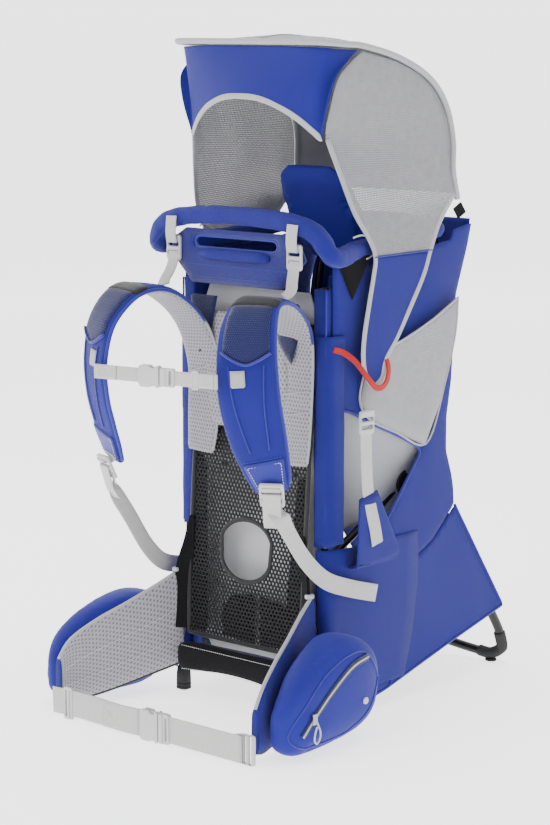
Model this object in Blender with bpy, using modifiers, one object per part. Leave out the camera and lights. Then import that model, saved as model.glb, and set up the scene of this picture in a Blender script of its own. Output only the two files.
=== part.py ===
"""Framed child-carrier backpack standing on its folding stand.

Metres, +Z up. The wearer's side faces -Y, the back of the pack +Y, and X = 0 is the centre plane.
Outlines are written in the pack's own frame, where Y = 0 is the plane of the back mesh. The empty
"carrier" then moves everything so that the origin is the bottom centre of the whole object.
"""

import math

import bmesh
import bpy
from mathutils import Vector

# Placement of the pack's own frame in the object's frame
FLOOR_Z = -0.015
CENTRE_Y = 0.1172

# Frame and stand
GAP = 0.0003
FRAME_RADIUS = 0.006
STAND_RADIUS = 0.007
UPRIGHT_X = 0.1245
UPRIGHT_Y = 0.0266
SLEEVE_HALF = 0.0125
SLEEVE_BORE = 0.0075
FRAME_BASE_Y = 0.010
HOOP_X = 0.108
STAND_X = 0.128
STAND_PIVOT = (0.0, 0.215, 0.300)
HUB_RADIUS = 0.020
STAND_FOOT_X = 0.108
STAND_FOOT_Y = 0.441
FOOT_RADIUS = 0.009

# Pack bag
SIDE_X = 0.141
SIDE_THICKNESS = 0.005
REAR_HALF_WIDTH = 0.1375
REAR_THICKNESS = 0.005
POCKET_INNER_X = 0.1438
POCKET_OUTER_X = 0.1545
POCKET_WALL = 0.002
BOARD_Y = 0.0305
MESH_MIDDLE = (0.0, 0.007, 0.3125)
MESH_LEAN = math.radians(3.8)

# Sunshade
SHADE_PIVOT = (0.0, 0.288, 0.705)
SHADE_RAIL_X = 0.150
SHADE_WIRE_RADIUS = 0.003
SHADE_SHEET = 0.003
SHADE_CROWN = 0.030
CROWN_POWER = 2.2

# Webbing and buckles
BELT_WIDTH = 0.038
BELT_THICKNESS = 0.002
BELT_Y = -0.2115
BELT_Z = 0.008
STERNUM_WIDTH = 0.020
STERNUM_TURN = math.radians(9.8)
STERNUM_Y = -0.186
STERNUM_Z = 0.488
STRAP_WEBBING = 0.026
LOWER_WEBBING_X = 0.155
LIFTER_WEBBING = 0.025
LIFTER_LOCK_WIDTH = 0.033

# Mesh detail
CURVE_STEPS = 3
TUBE_RESOLUTION = 1

SIDES = {"left": -1, "right": 1}
PLANE_TURN = {
    "YZ": (math.pi / 2, 0.0, math.pi / 2),
    "XZ": (math.pi / 2, 0.0, 0.0),
    "XY": (0.0, 0.0, 0.0),
}

# Each moving body's empty stands on its joint's axis.
PIVOTS = {
    "pack": (0.0, 0.0, 0.0),
    "kickstand": STAND_PIVOT,
    "sunshade": SHADE_PIVOT,
    "child_seat": (0.0, 0.17, 0.31),
    "harness": (0.0, 0.0, 0.45),
    "sternum_strap": (0.0, STERNUM_Y, STERNUM_Z),
    "sternum_tongue": (0.0, STERNUM_Y, STERNUM_Z),
    "hip_belt": (0.0, -0.10, 0.05),
    "hip_tongue": (0.034, BELT_Y, BELT_Z),
    "prong_upper": (0.034, BELT_Y, BELT_Z),
    "prong_lower": (0.034, BELT_Y, BELT_Z),
    "zip_left": (-0.2485, -0.135, 0.045),
    "zip_right": (0.2485, -0.135, 0.045),
    "stirrup_left": (-0.1645, 0.07, 0.30),
    "stirrup_right": (0.1645, 0.07, 0.30),
}

FINISHES = {
    "blue_fabric": ((0.022, 0.050, 0.39), 0.75, 0.0),
    "gray_mesh": ((0.56, 0.56, 0.58), 0.80, 0.0),
    "black_mesh": ((0.012, 0.012, 0.014), 0.80, 0.0),
    "black_fabric": ((0.010, 0.010, 0.012), 0.75, 0.0),
    "gray_lining": ((0.36, 0.38, 0.41), 0.70, 0.0),
    "webbing": ((0.68, 0.67, 0.66), 0.65, 0.0),
    "pale_plastic": ((0.72, 0.72, 0.72), 0.40, 0.0),
    "board": ((0.42, 0.42, 0.43), 0.50, 0.0),
    "black_tube": ((0.012, 0.012, 0.013), 0.35, 0.6),
    "black_rubber": ((0.010, 0.010, 0.010), 0.70, 0.0),
}

parts = None
cutters = None
bodies = {}
materials = {}


def start_scene():
    """An empty scene with the two collections, the materials and one empty for each body."""
    global parts, cutters
    for item in list(bpy.data.objects):
        bpy.data.objects.remove(item)
    parts = bpy.data.collections.new("baby_carrier_backpack")
    cutters = bpy.data.collections.new("cutters")
    bpy.context.scene.collection.children.link(parts)
    bpy.context.scene.collection.children.link(cutters)
    carrier = bpy.data.objects.new("carrier", None)
    carrier.location = (0.0, -CENTRE_Y, -FLOOR_Z)
    parts.objects.link(carrier)
    for name, place in PIVOTS.items():
        empty = bpy.data.objects.new("axis_" + name, None)
        empty.parent = carrier
        empty.location = place
        parts.objects.link(empty)
        bodies[name] = empty
    for name, (colour, roughness, metallic) in FINISHES.items():
        material = bpy.data.materials.new(name)
        material.use_nodes = True
        shader = material.node_tree.nodes["Principled BSDF"]
        shader.inputs["Base Color"].default_value = (*colour, 1.0)
        shader.inputs["Roughness"].default_value = roughness
        shader.inputs["Metallic"].default_value = metallic
        materials[name] = material


def add_part(name, data, finish, body, place=(0.0, 0.0, 0.0), turn=(0.0, 0.0, 0.0)):
    """One named sub-part at a place in the pack's frame, parented to its body's empty."""
    item = bpy.data.objects.new(name, data)
    data.materials.append(materials[finish])
    parts.objects.link(item)
    item.parent = bodies[body]
    item.location = Vector(place) - Vector(PIVOTS[body])
    item.rotation_euler = turn
    return item


def smooth(points, steps=CURVE_STEPS):
    """Points on a Catmull-Rom curve through the given ones; each may hold any count of values."""
    out = []
    last = len(points) - 1
    for i in range(last):
        a, b, c, d = (points[max(0, min(last, i + k))] for k in (-1, 0, 1, 2))
        for step in range(steps):
            t = step / steps
            out.append(tuple(
                0.5 * (2 * q + (r - p) * t + (2 * p - 5 * q + 4 * r - s) * t * t
                       + (3 * q - p - 3 * r + s) * t ** 3)
                for p, q, r, s in zip(a, b, c, d)))
    out.append(tuple(points[-1]))
    return out


def mirrored(points):
    """The points, then their mirror images in X = 0 in reverse order."""
    return points + [(-p[0], *p[1:]) for p in reversed(points) if abs(p[0]) > GAP]


def tube(name, points, radius, finish, body="pack"):
    """A round tube or wire with closed ends."""
    curve = bpy.data.curves.new(name, "CURVE")
    curve.dimensions = "3D"
    curve.bevel_depth = radius
    curve.bevel_resolution = TUBE_RESOLUTION
    curve.use_fill_caps = True
    spline = curve.splines.new("POLY")
    spline.points.add(len(points) - 1)
    for point, place in zip(spline.points, points):
        point.co = (*place, 1.0)
    return add_part(name, curve, finish, body)


def plate(name, outline, thickness, plane, place, finish, body="pack", holes=()):
    """A flat outline with half its thickness to each side of its plane."""
    curve = bpy.data.curves.new(name, "CURVE")
    curve.dimensions = "2D"
    curve.fill_mode = "BOTH"
    curve.extrude = thickness / 2
    for loop in (outline, *holes):
        spline = curve.splines.new("POLY")
        spline.points.add(len(loop) - 1)
        for point, (u, v) in zip(spline.points, loop):
            point.co = (u, v, 0.0, 1.0)
        spline.use_cyclic_u = True
    return add_part(name, curve, finish, body, place, PLANE_TURN[plane])


def to_mesh(item):
    """Turns a curve part into a welded mesh part, so that it can be cut."""
    bpy.context.view_layer.update()
    graph = bpy.context.evaluated_depsgraph_get()
    data = bpy.data.meshes.new_from_object(item.evaluated_get(graph))
    shape = bmesh.new()
    shape.from_mesh(data)
    bmesh.ops.remove_doubles(shape, verts=shape.verts, dist=0.00001)
    bmesh.ops.recalc_face_normals(shape, faces=shape.faces)
    shape.to_mesh(data)
    shape.free()
    name = item.name
    solid = bpy.data.objects.new(name, data)
    for collection in item.users_collection:
        collection.objects.link(solid)
    solid.parent = item.parent
    solid.location = item.location
    solid.rotation_euler = item.rotation_euler
    bpy.data.objects.remove(item)
    solid.name = name
    return solid


def block(name, size, place, finish, body="pack", turn=(0.0, 0.0, 0.0), rounding=0.0015):
    """A box with its long edges rounded."""
    data = bpy.data.meshes.new(name)
    shape = bmesh.new()
    bmesh.ops.create_cube(shape, size=1.0)
    bmesh.ops.scale(shape, vec=size, verts=shape.verts)
    shape.to_mesh(data)
    shape.free()
    item = add_part(name, data, finish, body, place, turn)
    if rounding:
        bevel = item.modifiers.new("rounding", "BEVEL")
        bevel.width = rounding
        bevel.segments = 1
    return item


def disc(name, radius, height, place, turn, finish, body="pack", sides=20):
    """A short cylinder along its own Z."""
    data = bpy.data.meshes.new(name)
    shape = bmesh.new()
    bmesh.ops.create_cone(shape, cap_ends=True, segments=sides, radius1=radius, radius2=radius,
                          depth=height)
    shape.to_mesh(data)
    shape.free()
    return add_part(name, data, finish, body, place, turn)


def rounded_ring(centre, across, through, width, thickness):
    """Eight corners of a strap's section: a rectangle with its corners cut off."""
    a = width / 2
    b = thickness / 2
    cut = 0.5 * b
    corners = [(a, b - cut), (a - cut, b), (cut - a, b), (-a, b - cut),
               (-a, cut - b), (cut - a, -b), (a - cut, -b), (a, cut - b)]
    return [centre + across * u + through * v for u, v in corners]


def loft(name, rings, finish, body="pack"):
    """A closed skin over a row of rings with the same number of corners."""
    data = bpy.data.meshes.new(name)
    shape = bmesh.new()
    rows = [[shape.verts.new(corner) for corner in ring] for ring in rings]
    for row, following in zip(rows, rows[1:]):
        for i, corner in enumerate(row):
            j = (i + 1) % len(row)
            shape.faces.new((corner, row[j], following[j], following[i]))
    shape.faces.new(reversed(rows[0]))
    shape.faces.new(rows[-1])
    bmesh.ops.recalc_face_normals(shape, faces=shape.faces)
    shape.to_mesh(data)
    shape.free()
    return add_part(name, data, finish, body)


def strap_rings(stations):
    """Rings along (x, y, z, turn of the width about Z in degrees, width, thickness) stations."""
    centres = [Vector(station[:3]) for station in stations]
    rings = []
    for i, station in enumerate(stations):
        along = (centres[min(i + 1, len(centres) - 1)] - centres[max(i - 1, 0)]).normalized()
        turn = math.radians(station[3])
        across = Vector((math.cos(turn), math.sin(turn), 0.0))
        across = (across - along * across.dot(along)).normalized()
        rings.append(rounded_ring(centres[i], across, along.cross(across), *station[4:6]))
    return rings


def cut_box(item, size, place, body="pack", turn=(0.0, 0.0, 0.0)):
    """Cuts a box-shaped hollow out of a part."""
    cutter = block("cutter_" + item.name, size, place, "pale_plastic", body, turn, 0.0)
    move_to_cutters(item, cutter)


def move_to_cutters(item, cutter):
    """Hides a cutter and gives the part a Boolean that subtracts it."""
    parts.objects.unlink(cutter)
    cutters.objects.link(cutter)
    cutter.hide_render = True
    cutter.display_type = "WIRE"
    cut = item.modifiers.new("cut", "BOOLEAN")
    cut.operation = "DIFFERENCE"
    cut.solver = "EXACT"
    cut.object = cutter


def arc(centre, radius_u, radius_v, start, end, steps):
    """Points on an ellipse's arc, angles in degrees."""
    return [(centre[0] + radius_u * math.cos(math.radians(start + (end - start) * i / steps)),
             centre[1] + radius_v * math.sin(math.radians(start + (end - start) * i / steps)))
            for i in range(steps + 1)]


def make_frame():
    """The U-shaped main tube, the rear hoop behind the child and the feet under the uprights."""
    half = smooth([(-UPRIGHT_X, UPRIGHT_Y, 0.600), (-UPRIGHT_X, UPRIGHT_Y, 0.240),
                   (-UPRIGHT_X, UPRIGHT_Y, 0.200),
                   (-0.140, 0.014, 0.085), (-0.147, FRAME_BASE_Y, 0.048),
                   (-0.134, FRAME_BASE_Y, 0.031), (-0.105, FRAME_BASE_Y, 0.030),
                   (0.0, FRAME_BASE_Y, 0.030)])
    tube("main_frame_tube", mirrored(half), FRAME_RADIUS, "black_tube")
    half = smooth([(-HOOP_X, 0.0400, 0.209), (-HOOP_X, 0.080, 0.223), (-HOOP_X, 0.215, 0.300),
                   (-HOOP_X, 0.262, 0.360), (-HOOP_X, 0.274, 0.450), (-HOOP_X, 0.278, 0.550),
                   (-0.105, 0.292, 0.625), (-0.080, 0.308, 0.668), (0.0, 0.312, 0.676)])
    tube("rear_hoop_tube", mirrored(half), FRAME_RADIUS, "black_tube")
    for side, sign in SIDES.items():
        block("front_foot_" + side, (0.020, 0.018, 0.036), (sign * 0.136, FRAME_BASE_Y, 0.003),
              "black_rubber", rounding=0.003)
        disc("stand_hub_" + side, HUB_RADIUS, 0.006, (sign * 0.1175, *STAND_PIVOT[1:]),
             (0.0, math.pi / 2, 0.0), "black_rubber")


def make_kickstand():
    """The folding U-shaped stand with its rubber feet and the fabric web between its legs."""
    leg = smooth([(-STAND_X, 0.215, 0.300), (-STAND_X, 0.258, 0.281), (-STAND_X, 0.290, 0.246),
                  (-STAND_X, 0.350, 0.160), (-STAND_X, 0.412, 0.072), (-STAND_X, 0.438, 0.030),
                  (-0.124, 0.446, 0.007), (-0.108, 0.441, -0.003), (-0.075, 0.431, 0.002),
                  (0.0, 0.420, 0.012)])
    tube("kickstand_tube", mirrored(leg), STAND_RADIUS, "black_tube", "kickstand")
    for side, sign in SIDES.items():
        disc("stand_foot_" + side, FOOT_RADIUS, 0.004,
             (sign * STAND_FOOT_X, STAND_FOOT_Y, FLOOR_Z + 0.002), (0.0, 0.0, 0.0),
             "black_rubber", "kickstand")
    web = [(0.3015, 0.2500), (0.4195, 0.0830), (0.4170, 0.0815), (0.2990, 0.2485)]
    plate("stand_cover", web, 2 * (STAND_X - STAND_RADIUS - 0.0015), "YZ", (0.0, 0.0, 0.0),
          "blue_fabric", "kickstand")


def make_back():
    """Everything that faces the wearer's back."""
    board = [(-0.095, 0.055), (0.095, 0.055), (0.108, 0.075), (0.108, 0.560), (0.095, 0.590),
             (-0.095, 0.590), (-0.108, 0.560), (-0.108, 0.075)]
    plate("back_board", board, 0.005, "XZ", (0.0, BOARD_Y, 0.0), "board")
    low = MESH_MIDDLE[2]
    sheet = [(-0.106, 0.080 - low), (0.106, 0.080 - low), (0.110, 0.160 - low),
             (0.110, 0.545 - low), (-0.110, 0.545 - low), (-0.110, 0.160 - low)]
    window = (arc((0.0, 0.222 - low), 0.050, 0.038, 20, 160, 8)
              + arc((0.0, 0.208 - low), 0.048, 0.038, 200, 340, 8))
    item = plate("back_mesh", sheet, 0.003, "XZ", MESH_MIDDLE, "black_mesh", holes=[window])
    item.rotation_euler.x -= MESH_LEAN
    block("lumbar_pad", (0.236, 0.022, 0.056), (0.0, -0.022, 0.047), "black_fabric", rounding=0.004)
    for side, sign in SIDES.items():
        x = sign * UPRIGHT_X
        half = SLEEVE_HALF
        section = [(x - half, UPRIGHT_Y - half), (x + half, UPRIGHT_Y - half),
                   (x + half, UPRIGHT_Y + half), (x - half, UPRIGHT_Y + half)]
        bore = arc((x, UPRIGHT_Y), SLEEVE_BORE, SLEEVE_BORE, 0, 315, 7)
        plate("upright_sleeve_" + side, section, 0.362, "XY", (0.0, 0.0, 0.417), "blue_fabric",
              holes=[bore])
    panel = [(-0.085, 0.598), (0.085, 0.598), (0.128, 0.640), (0.118, 0.660), (0.096, 0.6735),
             (-0.096, 0.6735), (-0.118, 0.660), (-0.128, 0.640)]
    slot = (arc((0.068, 0.656), 0.010, 0.010, -90, 90, 4)
            + arc((-0.068, 0.656), 0.010, 0.010, 90, 270, 4))
    plate("top_board", panel, 0.008, "XZ", (0.0, -0.018, 0.0), "blue_fabric", holes=[slot])
    half = smooth([(-0.134, 0.270, 0.668, 0.024), (-0.134, 0.160, 0.655, 0.024),
                   (-0.138, 0.080, 0.650, 0.024), (-0.155, 0.030, 0.645, 0.026),
                   (-0.164, -0.006, 0.648, 0.026), (-0.142, -0.015, 0.678, 0.026),
                   (-0.092, -0.016, 0.691, 0.026), (0.0, -0.016, 0.695, 0.026)])
    rings = []
    route = mirrored(half)
    for i, (x, y, z, width) in enumerate(route):
        ahead = Vector(route[min(i + 1, len(route) - 1)][:3])
        along = (ahead - Vector(route[max(i - 1, 0)][:3])).normalized()
        level = along.cross(Vector((0.0, 0.0, 1.0))).normalized()
        if abs(x) < 0.15 and y < 0.0:
            level = Vector((0.0, -1.0, 0.0))
        rings.append(rounded_ring(Vector((x, y, z)), level, level.cross(along), width, width))
    loft("cockpit_rim", rings, "blue_fabric")


def make_bag():
    """The child's cockpit: sides with leg openings, back, floor, seat, headrest and harness."""
    side_outline = [
        (0.024, 0.630), (0.024, 0.430), (0.060, 0.424), (0.100, 0.405), (0.160, 0.380),
        (0.222, 0.352), (0.147, 0.262), (0.105, 0.222), (0.105, 0.190), (0.196, 0.187),
        (0.250, 0.212), (0.300, 0.258), (0.298, 0.285), (0.293, 0.305), (0.280, 0.341),
        (0.280, 0.391), (0.290, 0.444), (0.299, 0.570), (0.325, 0.640), (0.334, 0.672),
        (0.290, 0.664), (0.285, 0.650),
        (0.160, 0.637), (0.080, 0.632)]
    for side, sign in SIDES.items():
        plate("side_panel_" + side, side_outline, SIDE_THICKNESS, "YZ", (sign * SIDE_X, 0.0, 0.0),
              "blue_fabric")
    outer = [(0.336, 0.678), (0.328, 0.640), (0.300, 0.570), (0.291, 0.444), (0.281, 0.391),
             (0.281, 0.341), (0.294, 0.305), (0.299, 0.285), (0.302, 0.259)]
    inner = [(y - REAR_THICKNESS, z) for y, z in reversed(outer)]
    plate("rear_panel", outer + inner, 2 * REAR_HALF_WIDTH, "YZ", (0.0, 0.0, 0.0), "blue_fabric")
    block("cockpit_floor", (0.196, 0.235, 0.004), (0.0, 0.165, 0.267), "gray_lining")
    rings = []
    for y, z, width, thickness in ((0.105, 0.318, 0.070, 0.018), (0.120, 0.312, 0.100, 0.030),
                                   (0.175, 0.310, 0.120, 0.034), (0.225, 0.316, 0.120, 0.030),
                                   (0.240, 0.324, 0.090, 0.018)):
        rings.append(rounded_ring(Vector((0.0, y, z)), Vector((1.0, 0.0, 0.0)),
                                  Vector((0.0, 0.0, 1.0)), width, thickness))
    loft("seat_pad", rings, "gray_lining", "child_seat")
    rest = []
    for y, z, width, thickness in ((0.205, 0.615, 0.110, 0.016), (0.190, 0.650, 0.150, 0.024),
                                   (0.162, 0.705, 0.160, 0.024), (0.140, 0.745, 0.135, 0.022),
                                   (0.130, 0.764, 0.090, 0.014)):
        rest.append(rounded_ring(Vector((0.0, y, z)), Vector((1.0, 0.0, 0.0)),
                                 Vector((0.0, 0.89, 0.45)), width, thickness))
    loft("headrest_pad", rest, "blue_fabric")
    straps = [(-0.050, 0.590), (-0.050, 0.430), (-0.022, 0.400), (0.022, 0.400), (0.050, 0.430),
              (0.050, 0.590), (0.020, 0.590), (0.020, 0.520), (-0.020, 0.520), (-0.020, 0.590)]
    plate("child_harness", straps, 0.004, "XZ", (0.0, 0.230, 0.0), "blue_fabric",
          holes=[[(-0.015, 0.500), (0.015, 0.500), (0.015, 0.430), (-0.015, 0.430)]])


def make_side_pockets():
    """The mesh pocket on each side, open along its upper edge."""
    outline = [(0.078, 0.436), (0.100, 0.409), (0.160, 0.383), (0.224, 0.356), (0.262, 0.420),
               (0.282, 0.500), (0.288, 0.566), (0.230, 0.540), (0.152, 0.514), (0.090, 0.505)]
    hollow = [(0.088, 0.440), (0.106, 0.418), (0.160, 0.393), (0.219, 0.369), (0.252, 0.424),
              (0.272, 0.500), (0.278, 0.600), (0.088, 0.600)]
    depth = POCKET_OUTER_X - POCKET_INNER_X
    inside = depth - POCKET_WALL
    for side, sign in SIDES.items():
        pocket = to_mesh(plate("side_pocket_" + side, outline, depth, "YZ",
                               (sign * (POCKET_INNER_X + depth / 2), 0.0, 0.0), "gray_mesh"))
        cutter = to_mesh(plate("cutter_pocket_" + side, hollow, inside + 0.002, "YZ",
                               (sign * (POCKET_INNER_X + inside / 2 - 0.001), 0.0, 0.0),
                               "gray_mesh"))
        move_to_cutters(pocket, cutter)


def make_gussets():
    """The lower fabric on each side, which follows the stand as it folds."""
    outline = [(0.036, 0.012), (0.090, -0.002), (0.142, 0.008), (0.290, 0.048), (0.424, 0.082),
               (0.302, 0.2565), (0.250, 0.2105), (0.196, 0.1855), (0.104, 0.1885), (0.036, 0.196)]
    for side, sign in SIDES.items():
        plate("gusset_" + side, outline, 0.003, "YZ", (sign * SIDE_X, 0.0, 0.0), "blue_fabric")


def make_sunshade():
    """The sunshade: a wire rail, a domed top sheet, a front valance and two side wings."""
    rail = [(-SHADE_RAIL_X, 0.288, 0.7095), (-SHADE_RAIL_X, 0.277, 0.751),
            (-SHADE_RAIL_X, 0.276, 0.794), (-SHADE_RAIL_X, 0.259, 0.844),
            (-SHADE_RAIL_X, 0.221, 0.883), (-SHADE_RAIL_X, 0.154, 0.912),
            (-SHADE_RAIL_X, 0.078, 0.929), (-0.149, 0.040, 0.932), (-0.141, 0.012, 0.934),
            (-0.115, 0.000, 0.935), (0.0, -0.003, 0.935)]
    tube("shade_wire", mirrored(rail), SHADE_WIRE_RADIUS, "gray_mesh", "sunshade")
    profile = smooth([(0.0045, 0.935, 0.108), (0.024, 0.934, 0.135), (0.078, 0.929, 0.145),
                      (0.154, 0.912, 0.145), (0.221, 0.883, 0.145), (0.259, 0.844, 0.145),
                      (0.276, 0.794, 0.145), (0.277, 0.751, 0.145), (0.284, 0.718, 0.145)], 2)
    make_shade_top(profile)
    make_shade_visor()
    for side, sign in SIDES.items():
        make_shade_wing(side, sign)


def make_shade_visor():
    """The front valance: it hangs from the rail, wraps the corners and ends in the face arch."""
    seam = [(0.1470, 0.066, 0.924), (0.1470, 0.040, 0.905), (0.1450, 0.020, 0.884),
            (0.1350, 0.016, 0.845), (0.1225, 0.021, 0.803)]
    tops = [(0.0, -0.001, 0.929), (0.036, -0.001, 0.929), (0.072, 0.000, 0.929),
            (0.105, 0.004, 0.928), (0.130, 0.013, 0.927), (0.1420, 0.032, 0.925)]
    arch = [(0.0, -0.012, 0.858), (0.034, -0.010, 0.855), (0.066, -0.004, 0.844),
            (0.092, 0.005, 0.828), (0.110, 0.014, 0.812), (0.1190, 0.019, 0.803)]
    half = []
    for top, low in zip(tops, arch):
        half.append([Vector(top).lerp(Vector(low), i / (len(seam) - 1)) for i in range(len(seam))])
    half.append([Vector(place) for place in seam])
    far = [[Vector((-place.x, place.y, place.z)) for place in column] for column in half[:0:-1]]
    sheet("shade_visor", far + half, SHADE_SHEET, "blue_fabric")


def make_shade_wing(side, sign):
    """A side wing from the rail down to the tip that the red loop holds."""
    front = [(0.1500, 0.0730, 0.9225), (0.1490, 0.0450, 0.9040), (0.1475, 0.0245, 0.8840),
             (0.1375, 0.0205, 0.8450), (0.1260, 0.0255, 0.8030), (0.1400, 0.0420, 0.7450),
             (0.1500, 0.0570, 0.7000), (0.1570, 0.0790, 0.6650), (0.1610, 0.0880, 0.6400),
             (0.1610, 0.0840, 0.6140), (0.1610, 0.0740, 0.5730), (0.1620, 0.0630, 0.5280),
             (0.1630, 0.0610, 0.4940), (0.1640, 0.0690, 0.4700), (0.1650, 0.0830, 0.4590)]
    rear = [(0.1500, 0.1400, 0.9090), (0.1500, 0.1950, 0.8900), (0.1500, 0.2340, 0.8635),
            (0.1500, 0.2610, 0.8245), (0.1500, 0.2705, 0.7900), (0.1500, 0.2710, 0.7510),
            (0.1520, 0.2790, 0.7160), (0.1550, 0.2430, 0.6790), (0.1580, 0.2190, 0.6410),
            (0.1600, 0.2020, 0.6080), (0.1620, 0.1700, 0.5640), (0.1630, 0.1380, 0.5220),
            (0.1635, 0.1140, 0.4940), (0.1640, 0.1050, 0.4700), (0.1650, 0.0900, 0.4590)]
    rows = []
    for a, b in zip(front, rear):
        row = []
        for step in range(5):
            share = step / 4
            place = Vector(a).lerp(Vector(b), share)
            place.x = a[0] + (b[0] - a[0]) * share ** 0.6
            place.x *= sign
            row.append(place)
        rows.append(row)
    if sign > 0:
        rows.reverse()
    sheet("shade_side_" + side, rows, SHADE_SHEET, "gray_mesh")


def sheet(name, rows, thickness, finish, body="sunshade"):
    """A grid of places skinned with faces and given its thickness."""
    data = bpy.data.meshes.new(name)
    shape = bmesh.new()
    grid = [[shape.verts.new(place) for place in row] for row in rows]
    for row, following in zip(grid, grid[1:]):
        for i in range(len(row) - 1):
            shape.faces.new((row[i], row[i + 1], following[i + 1], following[i]))
    shape.to_mesh(data)
    shape.free()
    item = add_part(name, data, finish, body)
    skin = item.modifiers.new("skin", "SOLIDIFY")
    skin.thickness = thickness
    skin.offset = 0.0
    return item


def make_shade_top(profile):
    """The top sheet: the rails' profile carried across the width, raised along the middle."""
    columns = 6
    last = len(profile) - 1
    rows = []
    for i, (y, z, half_width) in enumerate(profile):
        ahead = profile[min(i + 1, last)]
        behind = profile[max(i - 1, 0)]
        outward = Vector((0.0, behind[1] - ahead[1], ahead[0] - behind[0])).normalized()
        crown = SHADE_CROWN * abs(math.sin(math.pi * i / last)) ** CROWN_POWER
        row = []
        for column in range(columns + 1):
            share = 2 * column / columns - 1
            rise = crown * (1 - share * share)
            row.append(Vector((share * half_width, y, z)) + outward * rise)
        rows.append(row)
    sheet("shade_top", rows, 0.002, "gray_lining")


def make_harness():
    """Shoulder harness: pad up the back, strap over the shoulder, lock and webbing at its end."""
    routes = {
        "right": [
            (0.090, 0.0015, 0.350, 0.0, 0.046, 0.010), (0.088, 0.005, 0.400, 0.0, 0.056, 0.011),
            (0.089, 0.007, 0.500, 0.0, 0.060, 0.012), (0.094, -0.008, 0.550, 0.0, 0.062, 0.013),
            (0.102, -0.052, 0.583, 2.0, 0.066, 0.014), (0.109, -0.098, 0.584, 12.0, 0.070, 0.014),
            (0.121, -0.128, 0.540, 28.0, 0.076, 0.015), (0.128, -0.133, 0.470, 32.0, 0.080, 0.015),
            (0.133, -0.119, 0.405, 32.0, 0.074, 0.014), (0.136, -0.102, 0.357, 32.0, 0.058, 0.013),
            (0.138, -0.093, 0.332, 32.0, 0.042, 0.010)],
        "left": [
            (-0.090, 0.0015, 0.350, 0.0, 0.046, 0.010), (-0.088, 0.005, 0.400, 0.0, 0.056, 0.011),
            (-0.089, 0.007, 0.480, 0.0, 0.060, 0.012), (-0.093, -0.020, 0.545, 0.0, 0.062, 0.013),
            (-0.100, -0.075, 0.588, 0.0, 0.066, 0.014), (-0.109, -0.128, 0.590, -6.0, 0.070, 0.014),
            (-0.118, -0.164, 0.553, -18.0, 0.074, 0.015),
            (-0.125, -0.173, 0.500, -24.0, 0.078, 0.015),
            (-0.128, -0.167, 0.450, -24.0, 0.076, 0.015),
            (-0.132, -0.150, 0.404, -22.0, 0.068, 0.014),
            (-0.136, -0.134, 0.372, -20.0, 0.054, 0.013),
            (-0.139, -0.124, 0.352, -18.0, 0.042, 0.010)],
    }
    locks = {"left": (-0.1460, -0.1330, 0.339, 24.0, -18.0),
             "right": (0.1450, -0.1060, 0.331, 20.0, 32.0)}
    tails = {
        "left": [(-0.116, 0.306), (-0.080, 0.258), (-0.045, 0.208), (-0.010, 0.178),
                 (0.040, 0.166)],
        "right": [(-0.098, 0.299), (-0.055, 0.240), (-0.010, 0.200), (0.040, 0.179),
                  (0.104, 0.160)],
    }
    for side, sign in SIDES.items():
        loft("shoulder_harness_" + side, strap_rings(smooth(routes[side], 2)), "blue_fabric",
             "harness")
        x, y, z, lean, turn = locks[side]
        block("strap_lock_" + side, (0.034, 0.007, 0.036), (x, y, z), "pale_plastic", "harness",
              (math.radians(lean), 0.0, math.radians(turn)))
        plate("lower_webbing_" + side, band_outline(smooth(tails[side], 2), STRAP_WEBBING), 0.002,
              "YZ", (sign * LOWER_WEBBING_X, 0.0, 0.0), "webbing")
        lifter = [(sign * 0.1145, -0.0285, 0.624, 0.0, LIFTER_WEBBING, 0.002),
                  (sign * 0.1200, -0.0400, 0.6000, 0.0, LIFTER_WEBBING, 0.002)]
        loft("lifter_webbing_" + side, strap_rings(lifter), "webbing")
        block("lifter_lock_" + side, (LIFTER_LOCK_WIDTH, 0.007, 0.036),
              (sign * 0.1145, -0.0262, 0.645),
              "pale_plastic")


def band_outline(route, width):
    """The outline of a flat band that follows a route in its own plane."""
    left = []
    right = []
    for i, place in enumerate(route):
        along = (Vector(route[min(i + 1, len(route) - 1)])
                 - Vector(route[max(i - 1, 0)])).normalized()
        across = Vector((-along.y, along.x)) * width / 2
        left.append(Vector(place) + across)
        right.append(Vector(place) - across)
    return [tuple(place) for place in left + right[::-1]]


def along_sternum(distance, width, thickness):
    """A station on the sternum strap's straight line, measured from its middle."""
    x = distance * math.cos(STERNUM_TURN)
    y = STERNUM_Y + distance * math.sin(STERNUM_TURN)
    return (x, y, STERNUM_Z, 90.0, width, thickness)


def level_rings(stations):
    """Rings for webbing that runs level with its width upright."""
    centres = [Vector(station[:3]) for station in stations]
    rings = []
    for i, station in enumerate(stations):
        along = (centres[min(i + 1, len(centres) - 1)] - centres[max(i - 1, 0)]).normalized()
        upright = Vector((0.0, 0.0, 1.0))
        rings.append(rounded_ring(centres[i], upright, upright.cross(along).normalized(),
                                  *station[4:6]))
    return rings


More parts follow.
